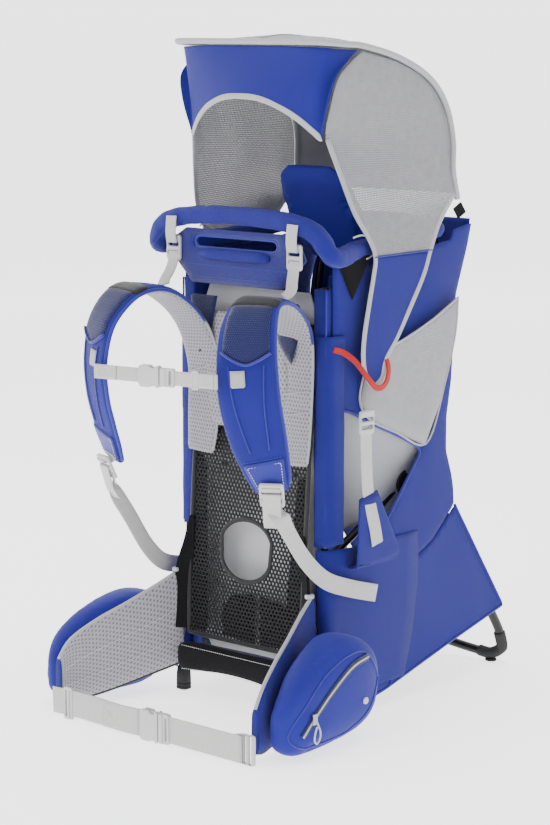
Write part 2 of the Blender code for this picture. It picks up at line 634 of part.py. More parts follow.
def make_sternum_strap():
    """The chest strap with its side-release buckle: socket half on the left, tongue half right."""
    socket = [along_sternum(*station) for station in (
        (-0.098, STERNUM_WIDTH, 0.002), (-0.0215, STERNUM_WIDTH, 0.002),
        (-0.0210, 0.030, 0.010), (0.0120, 0.030, 0.010))]
    item = loft("sternum_socket_strap", level_rings(socket), "pale_plastic", "sternum_strap")
    hollow = Vector(along_sternum(0.006, 0.0, 0.0)[:3])
    cut_box(item, (0.024, 0.0048, 0.040), hollow, "sternum_strap", (0.0, 0.0, STERNUM_TURN))
    tongue = [along_sternum(*station) for station in (
        (-0.003, 0.014, 0.0038), (0.0125, 0.014, 0.0038), (0.0128, 0.026, 0.010),
        (0.036, 0.026, 0.008), (0.0365, STERNUM_WIDTH, 0.002), (0.105, STERNUM_WIDTH, 0.002))]
    loft("sternum_tongue_strap", level_rings(tongue), "pale_plastic", "sternum_tongue")


def make_hip_belt():
    """Padded fins, their pockets with zip sliders, and the belt webbing with its buckle."""
    fin = [(0.128, -0.004, 0.170, 0.030), (0.139, -0.040, 0.152, 0.022),
           (0.156, -0.085, 0.130, 0.010), (0.173, -0.130, 0.110, 0.000),
           (0.187, -0.170, 0.086, -0.004), (0.191, -0.190, 0.060, 0.000)]
    pouch = [(0.188, 0.224, 0.030, 0.090, 0.050), (0.168, 0.234, 0.016, 0.114, 0.016),
             (0.158, 0.240, -0.006, 0.131, 0.000), (0.153, 0.244, -0.040, 0.138, -0.009),
             (0.1655, 0.246, -0.085, 0.129, -0.012), (0.1825, 0.246, -0.130, 0.110, -0.012),
             (0.196, 0.243, -0.162, 0.085, -0.008), (0.204, 0.228, -0.182, 0.057, 0.004)]
    for side, sign in SIDES.items():
        loft("hip_fin_" + side, [upright_ring(sign, *station, 0.014) for station in smooth(fin, 2)],
             "blue_fabric", "hip_belt")
        rings = [upright_ring(sign, (inner + outer) / 2, y, top, low, outer - inner)
                 for inner, outer, y, top, low in smooth(pouch, 2)]
        loft("hip_pocket_" + side, rings, "blue_fabric", "hip_belt")
        block("zip_slider_" + side, (0.003, 0.008, 0.014), (sign * 0.2490, -0.135, 0.045),
              "pale_plastic", "zip_" + side, rounding=0.001)
    make_belt_webbing()


def upright_ring(sign, x, y, top, low, depth):
    """A fin's or pocket's section at one place along it: upright, with its thickness along X."""
    centre = Vector((sign * x, y, (top + low) / 2))
    return rounded_ring(centre, Vector((0.0, 0.0, 1.0)), Vector((float(sign), 0.0, 0.0)),
                        top - low, depth)


def make_belt_webbing():
    """The belt: socket half on the left, tongue half with its two prongs, and the ladder lock."""
    socket = [(x, BELT_Y, BELT_Z, 0.0, width, thickness) for x, width, thickness in (
        (-0.180, BELT_WIDTH, BELT_THICKNESS), (-0.0005, BELT_WIDTH, BELT_THICKNESS),
        (0.0, 0.044, 0.013), (0.034, 0.044, 0.013))]
    item = loft("belt_socket_strap", level_rings(socket), "pale_plastic", "hip_belt")
    cut_box(item, (0.032, 0.0076, 0.060), (0.024, BELT_Y, BELT_Z), "hip_belt")
    tongue = [(x, BELT_Y, BELT_Z, 0.0, width, thickness) for x, width, thickness in (
        (0.012, 0.020, 0.0066), (0.0346, 0.020, 0.0066), (0.0350, 0.043, 0.013),
        (0.052, 0.043, 0.013), (0.0525, BELT_WIDTH, BELT_THICKNESS),
        (0.187, BELT_WIDTH, BELT_THICKNESS))]
    loft("belt_tongue_strap", level_rings(tongue), "pale_plastic", "hip_tongue")
    for name, sign in (("upper", 1), ("lower", -1)):
        block("buckle_prong_" + name, (0.020, 0.0060, 0.0065),
              (0.0243, BELT_Y, BELT_Z + sign * 0.0178), "pale_plastic", "prong_" + name,
              rounding=0.001)
    block("belt_ladder_lock", (0.026, 0.008, 0.042), (0.192, BELT_Y + 0.0055, BELT_Z),
          "pale_plastic", "hip_belt")


def make_stirrups():
    """The child's foot stirrups: a lock on the pack, webbing and a flap that reaches inwards."""
    for side, sign in SIDES.items():
        block("stirrup_lock_" + side, (0.007, 0.030, 0.034), (sign * 0.1706, 0.062, 0.413),
              "pale_plastic")
        stations = [(0.1645, 0.066, 0.395, 90.0, 0.024, 0.002),
                    (0.1645, 0.072, 0.315, 90.0, 0.026, 0.002),
                    (0.1650, 0.073, 0.308, 90.0, 0.044, 0.004),
                    (0.1660, 0.092, 0.222, 90.0, 0.096, 0.004),
                    (0.1630, 0.094, 0.209, 90.0, 0.098, 0.004),
                    (0.1560, 0.094, 0.204, 90.0, 0.096, 0.004),
                    (0.1465, 0.094, 0.204, 90.0, 0.092, 0.004)]
        rings = strap_rings([(sign * station[0], *station[1:]) for station in stations])
        loft("stirrup_flap_" + side, rings, "blue_fabric", "stirrup_" + side)


def make_carrier():
    start_scene()
    make_frame()
    make_kickstand()
    make_back()
    make_bag()
    make_side_pockets()
    make_gussets()
    make_sunshade()
    make_harness()
    make_sternum_strap()
    make_hip_belt()
    make_stirrups()


make_carrier()
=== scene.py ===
"""Looks of the framed child-carrier backpack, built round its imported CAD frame.

Metres, +Z up. The wearer's side faces -Y, the back of the pack +Y, and X = 0 is the centre plane.
Places are written in the pack's own frame, as in the CAD source; TO_OBJECT moves them to the object's.
Every sewn surface carries a UV map in metres, so that weaves, nets and stitches keep their real scale.
"""

import math

import bmesh
import bpy
import numpy as np
from mathutils import Matrix, Vector, noise
from mathutils.geometry import delaunay_2d_cdt


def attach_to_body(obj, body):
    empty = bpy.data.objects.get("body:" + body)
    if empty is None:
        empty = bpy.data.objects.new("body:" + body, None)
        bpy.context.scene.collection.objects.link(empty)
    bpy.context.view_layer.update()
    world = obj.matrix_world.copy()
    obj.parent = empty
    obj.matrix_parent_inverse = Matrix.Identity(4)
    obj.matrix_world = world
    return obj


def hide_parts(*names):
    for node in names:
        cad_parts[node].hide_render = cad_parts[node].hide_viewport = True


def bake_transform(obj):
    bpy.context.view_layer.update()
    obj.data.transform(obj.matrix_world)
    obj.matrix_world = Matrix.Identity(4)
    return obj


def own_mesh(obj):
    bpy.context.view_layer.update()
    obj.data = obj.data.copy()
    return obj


TO_OBJECT = Vector((0.0, -0.1172, 0.015))
SIDES = {"left": -1, "right": 1}
X_AXIS = Vector((1.0, 0.0, 0.0))
Y_AXIS = Vector((0.0, 1.0, 0.0))
Z_AXIS = Vector((0.0, 0.0, 1.0))

# Stage
SWEEP_REACH = 8.0
SWEEP_WALL = 5.0
SWEEP_BEND = 1.6

# Camera
CAMERA_AZIMUTH = math.radians(42.0)
CAMERA_DISTANCE = 3.353
CAMERA_SIDE = 0.041
CAMERA_DROP = math.radians(9.2880)
CAMERA_HEIGHT = 0.979
CAMERA_LENS = 104.727

# Frame
UPRIGHT_X = 0.1245
UPRIGHT_Y = 0.0266
STAND_X = 0.128
HOOP_X = 0.108
FLOOR_Z = -0.015

# Bag
SIDE_X = 0.141
BOARD_Y = 0.0305
MESH_MIDDLE = Vector((0.0, 0.007, 0.3125))
MESH_LEAN = math.radians(3.8)

# Webbing
BELT_WIDTH = 0.038
BELT_Y = -0.2115
BELT_Z = 0.008
STERNUM_TURN = math.radians(9.8)
STERNUM_Y = -0.186
STERNUM_Z = 0.488
WEBBING_THICKNESS = 0.0018
LIFTER_WIDTH = 0.0195

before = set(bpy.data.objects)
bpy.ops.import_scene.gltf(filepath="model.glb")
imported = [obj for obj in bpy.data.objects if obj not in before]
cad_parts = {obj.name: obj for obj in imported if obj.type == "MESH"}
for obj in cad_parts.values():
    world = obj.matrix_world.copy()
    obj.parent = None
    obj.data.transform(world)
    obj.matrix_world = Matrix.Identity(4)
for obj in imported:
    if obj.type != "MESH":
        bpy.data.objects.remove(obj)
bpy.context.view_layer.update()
stitches = {}


# ---------------------------------------------------------------- points and curves

def smooth(points, steps=6, closed=False):
    """Places on a Catmull-Rom curve through the given ones; each may hold any count of values."""
    rows = [np.array(p, float) for p in points]
    count = len(rows)
    out = []
    for i in range(count if closed else count - 1):
        ids = [i - 1, i, i + 1, i + 2]
        if closed:
            a, b, c, d = (rows[k % count] for k in ids)
        else:
            a, b, c, d = (rows[max(0, min(count - 1, k))] for k in ids)
        for step in range(steps):
            t = step / steps
            out.append(0.5 * (2 * b + (c - a) * t + (2 * a - 5 * b + 4 * c - d) * t * t
                              + (3 * b - a - 3 * c + d) * t ** 3))
    if not closed:
        out.append(rows[-1])
    return out


def vectors(rows):
    return [Vector(row[:3]) for row in rows]


def mirrored(points):
    """The points, then their mirror images in X = 0 in reverse order."""
    return points + [(-p[0], *p[1:]) for p in reversed(points) if abs(p[0]) > 0.0003]


def flipped(points, sign):
    """The points on the side that sign says."""
    return [Vector((sign * p[0], p[1], p[2])) for p in points]


def spread_along(points, pitch):
    """Points about pitch apart along a line, ends included."""
    line = np.array([tuple(p) for p in points], float)
    gaps = np.linalg.norm(np.diff(line, axis=0), axis=1)
    along = np.concatenate([[0.0], np.cumsum(gaps)])
    at = np.linspace(0.0, along[-1], max(2, int(round(along[-1] / pitch)) + 1))
    return [Vector([float(np.interp(t, along, line[:, k])) for k in range(line.shape[1])])
            for t in at]


def arc(centre, radius_u, radius_v, start, end, steps):
    """Points on an ellipse's arc, angles in degrees."""
    angles = [math.radians(start + (end - start) * i / steps) for i in range(steps + 1)]
    return [(centre[0] + radius_u * math.cos(a), centre[1] + radius_v * math.sin(a)) for a in angles]


def rounded_box(width, height, radius, steps=5):
    """The outline of a rectangle with round corners, centred on the origin."""
    a = width / 2 - radius
    b = height / 2 - radius
    out = []
    for u, v, start in ((a, b, 0), (-a, b, 90), (-a, -b, 180), (a, -b, 270)):
        out += arc((u, v), radius, radius, start, start + 90, steps)
    return out


def ripple(place, size, seed=0.0):
    """Smooth noise from -1 to 1 over distances of about size."""
    return noise.noise(Vector(place) / size + Vector((seed, 3.1 * seed, 1.7 * seed)))


# ---------------------------------------------------------------- meshes

def add_mesh(name, verts, faces, uvs, finish):
    """A smooth-shaded mesh object from places in the pack's own frame, with UVs for each corner."""
    data = bpy.data.meshes.new(name)
    data.from_pydata([tuple(Vector(v) + TO_OBJECT) for v in verts], [], faces)
    layer = data.uv_layers.new(name="Cloth")
    layer.data.foreach_set("uv", np.array(uvs, np.float32).ravel())
    data.shade_smooth()
    data.materials.append(finish)
    item = bpy.data.objects.new(name, data)
    bpy.context.scene.collection.objects.link(item)
    return item


def settle(item):
    """Applies the modifiers."""
    bpy.context.view_layer.update()
    graph = bpy.context.evaluated_depsgraph_get()
    data = bpy.data.meshes.new_from_object(item.evaluated_get(graph))
    item.modifiers.clear()
    item.data = data
    return item


def thicken(item, thickness, offset=0.0):
    """Gives a sheet its thickness."""
    skin = item.modifiers.new("skin", "SOLIDIFY")
    skin.thickness = thickness
    skin.offset = offset
    return settle(item)


def subdivide(item, levels=1):
    soft = item.modifiers.new("soft", "SUBSURF")
    soft.levels = levels
    soft.render_levels = levels
    return settle(item)


def join(name, items):
    """One piece made of several meshes."""
    with bpy.context.temp_override(active_object=items[0], object=items[0],
                                   selected_editable_objects=items, selected_objects=items):
        bpy.ops.object.join()
    items[0].name = name
    items[0].data.name = name
    return items[0]


def attach(item, body, *nodes):
    """The piece rides on a body and stands for these CAD nodes."""
    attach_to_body(item, body)
    if nodes:
        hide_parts(*nodes)
    return item


def surface(name, rows, finish, across=3, along=3, closed=False):
    """A smooth sheet through rows of places, with its UV map in metres."""
    fine = [smooth(row, across, closed) for row in rows]
    columns = list(zip(*fine))
    columns = [smooth(column, along) for column in columns]
    fine = [list(row) for row in zip(*columns)]
    return skin_rows(name, fine, finish, closed)


def skin_rows(name, rows, finish, closed=False, capped=False):
    """Faces over rows of places that have the same count."""
    count = len(rows[0])
    middle = rows[len(rows) // 2]
    around = [0.0]
    for i in range(count if closed else count - 1):
        gap = np.array(middle[(i + 1) % count]) - np.array(middle[i])
        around.append(around[-1] + float(np.linalg.norm(gap)))
    down = [0.0]
    for a, b in zip(rows, rows[1:]):
        gap = np.mean([np.linalg.norm(np.array(q) - np.array(p)) for p, q in zip(a, b)])
        down.append(down[-1] + float(gap))
    verts = [place for row in rows for place in row]
    faces = []
    uvs = []
    for i in range(len(rows) - 1):
        for j in range(count if closed else count - 1):
            k = (j + 1) % count
            faces.append((i * count + j, i * count + k, (i + 1) * count + k, (i + 1) * count + j))
            uvs += [(around[j], down[i]), (around[j + 1], down[i]),
                    (around[j + 1], down[i + 1]), (around[j], down[i + 1])]
    if capped:
        last = (len(rows) - 1) * count
        faces.append(tuple(range(count - 1, -1, -1)))
        faces.append(tuple(range(last, last + count)))
        for row, level in ((reversed(middle), down[0]), (middle, down[-1])):
            uvs += [(place[0], place[2] + level) for place in row]
    return add_mesh(name, verts, faces, uvs, finish)


def inside(point, outline):
    """True if a point of the plane lies in the outline."""
    u, v = point
    found = False
    for (a, b), (c, d) in zip(outline, outline[1:] + outline[:1]):
        if (b > v) != (d > v) and u < (c - a) * (v - b) / (d - b) + a:
            found = not found
    return found


def edge_distance(points, loops):
    """How far each point of the plane is from the nearest edge of the outlines."""
    points = np.array(points, float)
    best = np.full(len(points), 1.0)
    for loop in loops:
        ends = np.array(loop, float)
        for a, b in zip(ends, np.roll(ends, -1, axis=0)):
            d = b - a
            t = np.clip(((points - a) @ d) / max(float(d @ d), 1e-12), 0.0, 1.0)
            best = np.minimum(best, np.linalg.norm(points - a - t[:, None] * d, axis=1))
    return best


def panel(name, outline, place, finish, spacing=0.008, holes=(), thickness=0.0012):
    """A sewn panel: an even net of triangles inside a flat outline, carried into space by
    place(u, v, distance from the edge)."""
    loops = []
    for loop in (outline, *holes):
        ring = spread_along([(*p, 0.0) for p in [*loop, loop[0]]], spacing)[:-1]
        loops.append([(p.x, p.y) for p in ring])
    points = [p for loop in loops for p in loop]
    edges = []
    start = 0
    for loop in loops:
        edges += [(start + i, start + (i + 1) % len(loop)) for i in range(len(loop))]
        start += len(loop)
    low = np.min(loops[0], axis=0)
    high = np.max(loops[0], axis=0)
    net = []
    step = spacing * math.sqrt(3) / 2
    for i in range(int((high[1] - low[1]) / step) + 1):
        for j in range(int((high[0] - low[0]) / spacing) + 2):
            net.append((low[0] + (j + 0.5 * (i % 2)) * spacing, low[1] + (i + 0.5) * step))
    far = edge_distance(net, loops)
    net = [p for p, d in zip(net, far) if d > 0.55 * spacing and inside(p, loops[0])
           and not any(inside(p, hole) for hole in loops[1:])]
    places = [Vector(p) for p in points + net]
    verts, _, faces, *_ = delaunay_2d_cdt(places, edges, [], 1, 1e-6)
    kept = []
    for face in faces:
        middle = sum((verts[i] for i in face), Vector((0.0, 0.0))) / len(face)
        if inside(middle, loops[0]) and not any(inside(middle, hole) for hole in loops[1:]):
            kept.append(tuple(face))
    depth = edge_distance([tuple(v) for v in verts], loops)
    shaped = [place(v.x, v.y, float(d)) for v, d in zip(verts, depth)]
    uvs = [tuple(verts[i]) for face in kept for i in face]
    item = add_mesh(name, shaped, kept, uvs, finish)
    return thicken(item, thickness) if thickness else item


# Sections of a strap or pad, as shares of half its width and half its thickness.
BAND = [(1.0, 0.0), (0.985, 0.7), (0.95, 1.0), (0.5, 1.0), (0.0, 1.0), (-0.5, 1.0), (-0.95, 1.0),
        (-0.985, 0.7), (-1.0, 0.0), (-0.985, -0.7), (-0.95, -1.0), (-0.5, -1.0), (0.0, -1.0),
        (0.5, -1.0), (0.95, -1.0), (0.985, -0.7)]


def section(count, power):
    """A closed section between an ellipse (power 2) and a rectangle (a high power)."""
    out = []
    for i in range(count):
        a = 2 * math.pi * i / count
        c = math.cos(a)
        s = math.sin(a)
        out.append((math.copysign(abs(c) ** (2 / power), c), math.copysign(abs(s) ** (2 / power), s)))
    return out


ROUND = section(12, 2.0)
PAD = section(32, 3.2)
SLEEVE = section(24, 5.0)


def frames_along(route, across=None):
    """(centre, across, through) along a route. across is a vector, one for each place, or None
    for a frame that turns as little as it can."""
    out = []
    last = len(route) - 1
    carried = None
    for i, centre in enumerate(route):
        along = (route[min(i + 1, last)] - route[max(i - 1, 0)]).normalized()
        if across is None:
            if carried is None:
                carried = along.orthogonal()
            wide = carried
        else:
            wide = across[i] if isinstance(across, list) else across
        wide = (wide - along * wide.dot(along)).normalized()
        carried = wide
        out.append((centre, wide, along.cross(wide)))
    return out


def loft(name, frames, widths, depths, profile, finish):
    """A closed skin of one section carried along frames; widths and depths are whole sizes."""
    rings = []
    for i, (centre, across, through) in enumerate(frames):
        a = (widths[i] if isinstance(widths, list) else widths) / 2
        b = (depths[i] if isinstance(depths, list) else depths) / 2
        rings.append([tuple(centre + across * (a * u) + through * (b * v)) for u, v in profile])
    return skin_rows(name, rings, finish, closed=True, capped=True)


def tube(name, route, radius, finish, flat=1.0, across=None, profile=ROUND):
    """A cord, wire or piping; flat below 1 makes it a band in the plane of across."""
    route = [Vector(p) for p in route]
    return loft(name, frames_along(route, across), 2 * radius, 2 * radius * flat, profile, finish)


def ring_tube(name, route, radius, finish, flat=1.0, normal=Y_AXIS):
    """Piping round a closed outline; normal is the direction that its thickness runs in."""
    count = len(route)
    rings = []
    for i, centre in enumerate(route):
        along = (route[(i + 1) % count] - route[i - 1]).normalized()
        wide = along.cross(normal).normalized()
        deep = wide.cross(along)
        rings.append([tuple(centre + wide * (radius * u) + deep * (radius * flat * v))
                      for u, v in ROUND])
    return skin_rows(name, rings + rings[:1], finish, closed=True)


def webbing(name, route, width, finish, across, thickness=WEBBING_THICKNESS):
    """A flat woven strap along a route."""
    route = [Vector(p) for p in route]
    return loft(name, frames_along(route, across), width, thickness, BAND, finish)


def binding(name, edge, inner, width, thickness, finish):
    """A folded tape over a sheet's edge; inner holds places one row in from the edge."""
    edge = vectors(smooth(edge, 5))
    inner = vectors(smooth(inner, 5))
    across = [b - a for a, b in zip(edge, inner)]
    frames = [(centre + wide * (width * 0.3), wide, deep)
              for centre, wide, deep in frames_along(edge, across)]
    return loft(name, frames, width, thickness, section(16, 2.6), finish)


def flat_plate(name, outline, thickness, finish, matrix, holes=(), rounding=0.0008):
    """A moulded plate with rounded edges: a flat outline in its own XY plane, moved by matrix."""
    curve = bpy.data.curves.new(name, "CURVE")
    curve.dimensions = "2D"
    curve.fill_mode = "BOTH"
    curve.extrude = thickness / 2 - rounding
    curve.bevel_depth = rounding
    curve.bevel_resolution = 2
    curve.offset = -rounding
    for loop in (outline, *holes):
        spline = curve.splines.new("POLY")
        spline.points.add(len(loop) - 1)
        for point, (u, v) in zip(spline.points, loop):
            point.co = (u, v, 0.0, 1.0)
        spline.use_cyclic_u = True
    item = bpy.data.objects.new(name, curve)
    bpy.context.scene.collection.objects.link(item)
    bpy.context.view_layer.update()
    data = bpy.data.meshes.new_from_object(item.evaluated_get(
        bpy.context.evaluated_depsgraph_get()))
    bpy.data.objects.remove(item)
    shape = bmesh.new()
    shape.from_mesh(data)
    bmesh.ops.remove_doubles(shape, verts=shape.verts, dist=0.00002)
    bmesh.ops.recalc_face_normals(shape, faces=shape.faces)
    shape.to_mesh(data)
    shape.free()
    data.transform(Matrix.Translation(TO_OBJECT) @ matrix)
    data.shade_smooth()
    data.set_sharp_from_angle(angle=math.radians(40.0))
    data.materials.clear()
    data.materials.append(finish)
    item = bpy.data.objects.new(name, data)
    bpy.context.scene.collection.objects.link(item)
    return item


def frame_matrix(centre, across, along):
    """A matrix whose X is across, whose Y is along and whose Z stands on both."""
    across = Vector(across).normalized()
    along = (Vector(along) - across * across.dot(Vector(along))).normalized()
    through = across.cross(along)
    matrix = Matrix((across, along, through)).transposed().to_4x4()
    matrix.translation = Vector(centre)
    return matrix


def stitch(body, route, pitch=0.0042, length=0.0028, thread="pale"):
    """Notes a row of stitches along a route on one body; make_stitches() sews them all."""
    marks = spread_along(route, pitch)
    for a, b in zip(marks, marks[1:]):
        share = 0.5 * length / max((b - a).length, length)
        middle = (a + b) / 2
        stitches.setdefault((body, thread), []).append(
            (middle + (a - b) * share, middle + (b - a) * share))


def make_stitches(threads):
    """One mesh of short round threads for each body and colour."""
    for (body, thread), marks in stitches.items():
        verts = []
        faces = []
        uvs = []
        for a, b in marks:
            along = (b - a).normalized()
            wide = along.orthogonal().normalized()
            deep = along.cross(wide)
            start = len(verts)
            for share, radius in ((0.0, 0.0002), (0.2, 0.00045), (0.8, 0.00045), (1.0, 0.0002)):
                centre = a.lerp(b, share)
                for u, v in ((1, 0), (0, 1), (-1, 0), (0, -1)):
                    verts.append(centre + wide * (u * radius) + deep * (v * radius))
            for level in range(3):
                for i in range(4):
                    j = (i + 1) % 4
                    base = start + level * 4
                    faces.append((base + i, base + j, base + 4 + j, base + 4 + i))
            faces.append((start + 3, start + 2, start + 1, start))
            faces.append((start + 12, start + 13, start + 14, start + 15))
            uvs += [(0.0, 0.0)] * 56
        item = add_mesh(f"stitching_{body}_{thread}", verts, faces, uvs, threads[thread])
        attach(item, body)


def puff(item, swell, pressure=4.0, voxel=0.005):
    """Fills a closed pad with air in a cloth simulation, each point moving at most swell."""
    remesh = item.modifiers.new("remesh", "REMESH")
    remesh.mode = "VOXEL"
    remesh.voxel_size = voxel
    remesh.use_smooth_shade = True
    settle(item)
    rest = np.array([v.co for v in item.data.vertices], float)
    cloth = item.modifiers.new("cloth", "CLOTH")
    cloth.settings.use_pressure = True
    cloth.settings.uniform_pressure_force = pressure
    cloth.settings.effector_weights.gravity = 0.0
    cloth.settings.quality = 5
    cloth.collision_settings.use_collision = False
    scene = bpy.context.scene
    for step in range(1, 21):
        scene.frame_set(step)
    settle(item)
    scene.frame_set(1)
    moved = np.array([v.co for v in item.data.vertices], float)
    shift = moved - rest
    far = np.linalg.norm(shift, axis=1)
    shift *= np.minimum(1.0, swell / np.maximum(far, 1e-9))[:, None]
    item.data.vertices.foreach_set("co", (rest + shift).ravel())
    item.data.update()
    return subdivide(item)


def add_cord(name, route, steps, diameter, finish, body):
    """A limp cord along a smoothed route, held by the object at both ends."""
    line = [p + TO_OBJECT for p in vectors(smooth(route, steps))]
    curve = bpy.data.curves.new(name, "CURVE")
    curve.dimensions = "3D"
    curve.bevel_depth = diameter / 2
    curve.bevel_resolution = 3
    curve.use_fill_caps = True
    spline = curve.splines.new("POLY")
    spline.points.add(len(line) - 1)
    for point, place in zip(spline.points, line):
        point.co = (*place, 1.0)
    curve.materials.append(finish)
    item = bpy.data.objects.new(name, curve)
    bpy.context.scene.collection.objects.link(item)
    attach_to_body(item, body)


# ---------------------------------------------------------------- materials

class Tree:
    """A material with short ways to add nodes to it."""

    def __init__(self, name, roughness, sheen=0.0, metallic=0.0, specular=0.5):
        self.material = bpy.data.materials.new(name)
        self.material.use_nodes = True
        self.tree = self.material.node_tree
        self.shader = self.tree.nodes["Principled BSDF"]
        self.shader.inputs["Roughness"].default_value = roughness
        self.shader.inputs["Metallic"].default_value = metallic
        self.shader.inputs["Specular IOR Level"].default_value = specular
        self.shader.inputs["Sheen Weight"].default_value = sheen
        self.shader.inputs["Sheen Roughness"].default_value = 0.45

    def node(self, kind, inputs=(), **settings):
        made = self.tree.nodes.new(kind)
        for key, value in settings.items():
            setattr(made, key, value)
        for key, value in dict(inputs).items():
            if isinstance(value, bpy.types.NodeSocket):
                self.tree.links.new(value, made.inputs[key])
            else:
                made.inputs[key].default_value = value
        return made

    def math(self, operation, *values, clamp=False):
        made = self.node("ShaderNodeMath", dict(enumerate(values)), operation=operation,
                         use_clamp=clamp)
        return made.outputs[0]

    def noise(self, scale, detail=3.0, place=None):
        place = place or self.place()
        made = self.node("ShaderNodeTexNoise", {"Vector": place, "Scale": scale, "Detail": detail})
        return made.outputs["Fac"]

    def place(self):
        """The piece's own place in space, in metres."""
        return self.node("ShaderNodeTexCoord").outputs["Object"]

    def cloth(self):
        """The UV map's two coordinates, in metres across and along the cloth."""
        parts = self.node("ShaderNodeSeparateXYZ",
                          {0: self.node("ShaderNodeUVMap", uv_map="Cloth").outputs["UV"]})
        return parts.outputs[0], parts.outputs[1]

    def steps(self, value, low, high):
        """0 below low, 1 above high, with a smooth step between."""
        made = self.node("ShaderNodeMapRange", {0: value, 1: low, 2: high},
                         interpolation_type="SMOOTHSTEP")
        return made.outputs[0]

    def mix(self, share, low, high):
        made = self.node("ShaderNodeMix", data_type="RGBA")
        for key, value in ((0, share), (6, low), (7, high)):
            if isinstance(value, bpy.types.NodeSocket):
                self.tree.links.new(value, made.inputs[key])
            elif key:
                made.inputs[key].default_value = (*value, 1.0)
            else:
                made.inputs[key].default_value = value
        return made.outputs[2]

    def waves(self, u, v, pitch):
        """A square lattice of soft bumps: threads crossing over and under."""
        turn = 2 * math.pi / pitch
        a = self.math("SINE", self.math("MULTIPLY", u, turn))
        b = self.math("SINE", self.math("MULTIPLY", v, turn))
        return self.math("MULTIPLY", a, b)

    def honeycomb(self, u, v, pitch):
        """From -1.5 between cells to 3 at the middle of each cell of a hexagonal lattice."""
        turn = 4 * math.pi / (pitch * math.sqrt(3))
        low = self.math("MULTIPLY", v, turn)
        half = self.math("MULTIPLY", v, turn / 2)
        side = self.math("MULTIPLY", u, turn * math.sqrt(3) / 2)
        total = self.math("ADD", self.math("COSINE", low),
                          self.math("COSINE", self.math("ADD", half, side)))
        return self.math("ADD", total, self.math("COSINE", self.math("SUBTRACT", half, side)))

    def colour(self, value):
        self.tree.links.new(value, self.shader.inputs["Base Color"])

    def rough(self, value, low, high):
        self.tree.links.new(self.steps_between(value, low, high), self.shader.inputs["Roughness"])

    def steps_between(self, value, low, high):
        return self.node("ShaderNodeMapRange", {0: value, 1: 0.0, 2: 1.0, 3: low, 4: high}).outputs[0]

    def bump(self, height, distance, strength=0.6):
        made = self.node("ShaderNodeBump", {"Height": height, "Distance": distance,
                                            "Strength": strength})
        self.tree.links.new(made.outputs[0], self.shader.inputs["Normal"])

    def clear(self, holes):
        """Makes the cloth see-through where holes is 1."""
        self.tree.links.new(self.math("SUBTRACT", 1.0, holes), self.shader.inputs["Alpha"])


def shade(colour, amount):
    return tuple(min(1.0, c * amount) for c in colour)


def woven_fabric(name, colour, contrast=0.16, pitch=0.0026, roughness=0.62, sheen=0.25):
    """Packcloth: a fine diamond dobby over a plain weave, with slight fading."""
    m = Tree(name, roughness, sheen, specular=0.18)
    u, v = m.cloth()
    slant = m.math("ADD", u, v)
    cross = m.math("SUBTRACT", u, v)
    dobby = m.waves(slant, cross, pitch)
    threads = m.waves(u, v, 0.0009)
    fading = m.noise(9.0, 4.0)
    share = m.math("MULTIPLY_ADD", dobby, 0.22, m.math("MULTIPLY_ADD", fading, 1.3, -0.15),
                   clamp=True)
    m.colour(m.mix(share, shade(colour, 1.0 - contrast), shade(colour, 1.0 + contrast)))
    m.rough(fading, roughness - 0.08, roughness + 0.10)
    creases = m.noise(38.0, 4.0)
    height = m.math("MULTIPLY_ADD", dobby, 0.25, m.math("MULTIPLY_ADD", creases, 1.2, threads))
    m.bump(height, 0.0006, 0.55)
    return m.material


def spacer_mesh(name, light, dark, pitch=0.0046, roughness=0.75):
    """Padded three-dimensional mesh: hexagonal cells whose hollows are painted dark, a painted shade
    in each cell's recess.
    """
    m = Tree(name, roughness, 0.2, specular=0.3)
    u, v = m.cloth()
    cells = m.honeycomb(u, v, pitch)
    hollow_and_painted_shade = m.steps(cells, 0.4, 2.2)
    yarn = m.noise(240.0, 2.0)
    # The hollows take the dark colour: painted shade in the recesses of the cells.
    tone = m.math("MULTIPLY_ADD", yarn, 0.35, m.math("MULTIPLY", hollow_and_painted_shade, 0.8), clamp=True)
    m.colour(m.mix(tone, light, dark))
    m.bump(m.math("MULTIPLY_ADD", hollow_and_painted_shade, -1.0, m.math("MULTIPLY", yarn, 0.25)), 0.0012, 0.8)
    return m.material


def open_net(name, light, dark, pitch, opening, roughness=0.7):
    """A see-through net: round holes through the cloth, larger with a lower opening."""
    m = Tree(name, roughness, 0.1, specular=0.3)
    u, v = m.cloth()
    cells = m.honeycomb(u, v, pitch)
    yarn = m.noise(90.0, 3.0)
    m.colour(m.mix(yarn, dark, light))
    m.clear(m.steps(cells, opening, opening + 0.5))
    m.bump(cells, -0.0004, 0.5)
    return m.material


def woven_band(name, colour, contrast=0.10):
    """Webbing: ribs across the strap, a herringbone and a fuzz of loose fibres."""
    m = Tree(name, 0.62, 0.2, specular=0.35)
    u, v = m.cloth()
    slant = m.math("SINE", m.math("MULTIPLY", m.math("ADD", v, m.math("PINGPONG", u, 0.003)),
                                  2 * math.pi / 0.0018))
    ribs = m.math("SINE", m.math("MULTIPLY", u, 2 * math.pi / 0.0014))
    fuzz = m.noise(160.0, 4.0)
    dirt = m.noise(14.0, 3.0)
    weave = m.math("MULTIPLY_ADD", slant, 0.25, m.math("MULTIPLY_ADD", ribs, 0.15, fuzz))
    share = m.math("MULTIPLY_ADD", weave, 0.5, m.math("MULTIPLY", dirt, 0.5), clamp=True)
    m.colour(m.mix(share, shade(colour, 1.0 - 1.4 * contrast), shade(colour, 1.0 + contrast)))
    m.bump(weave, 0.0005, 0.6)
    return m.material


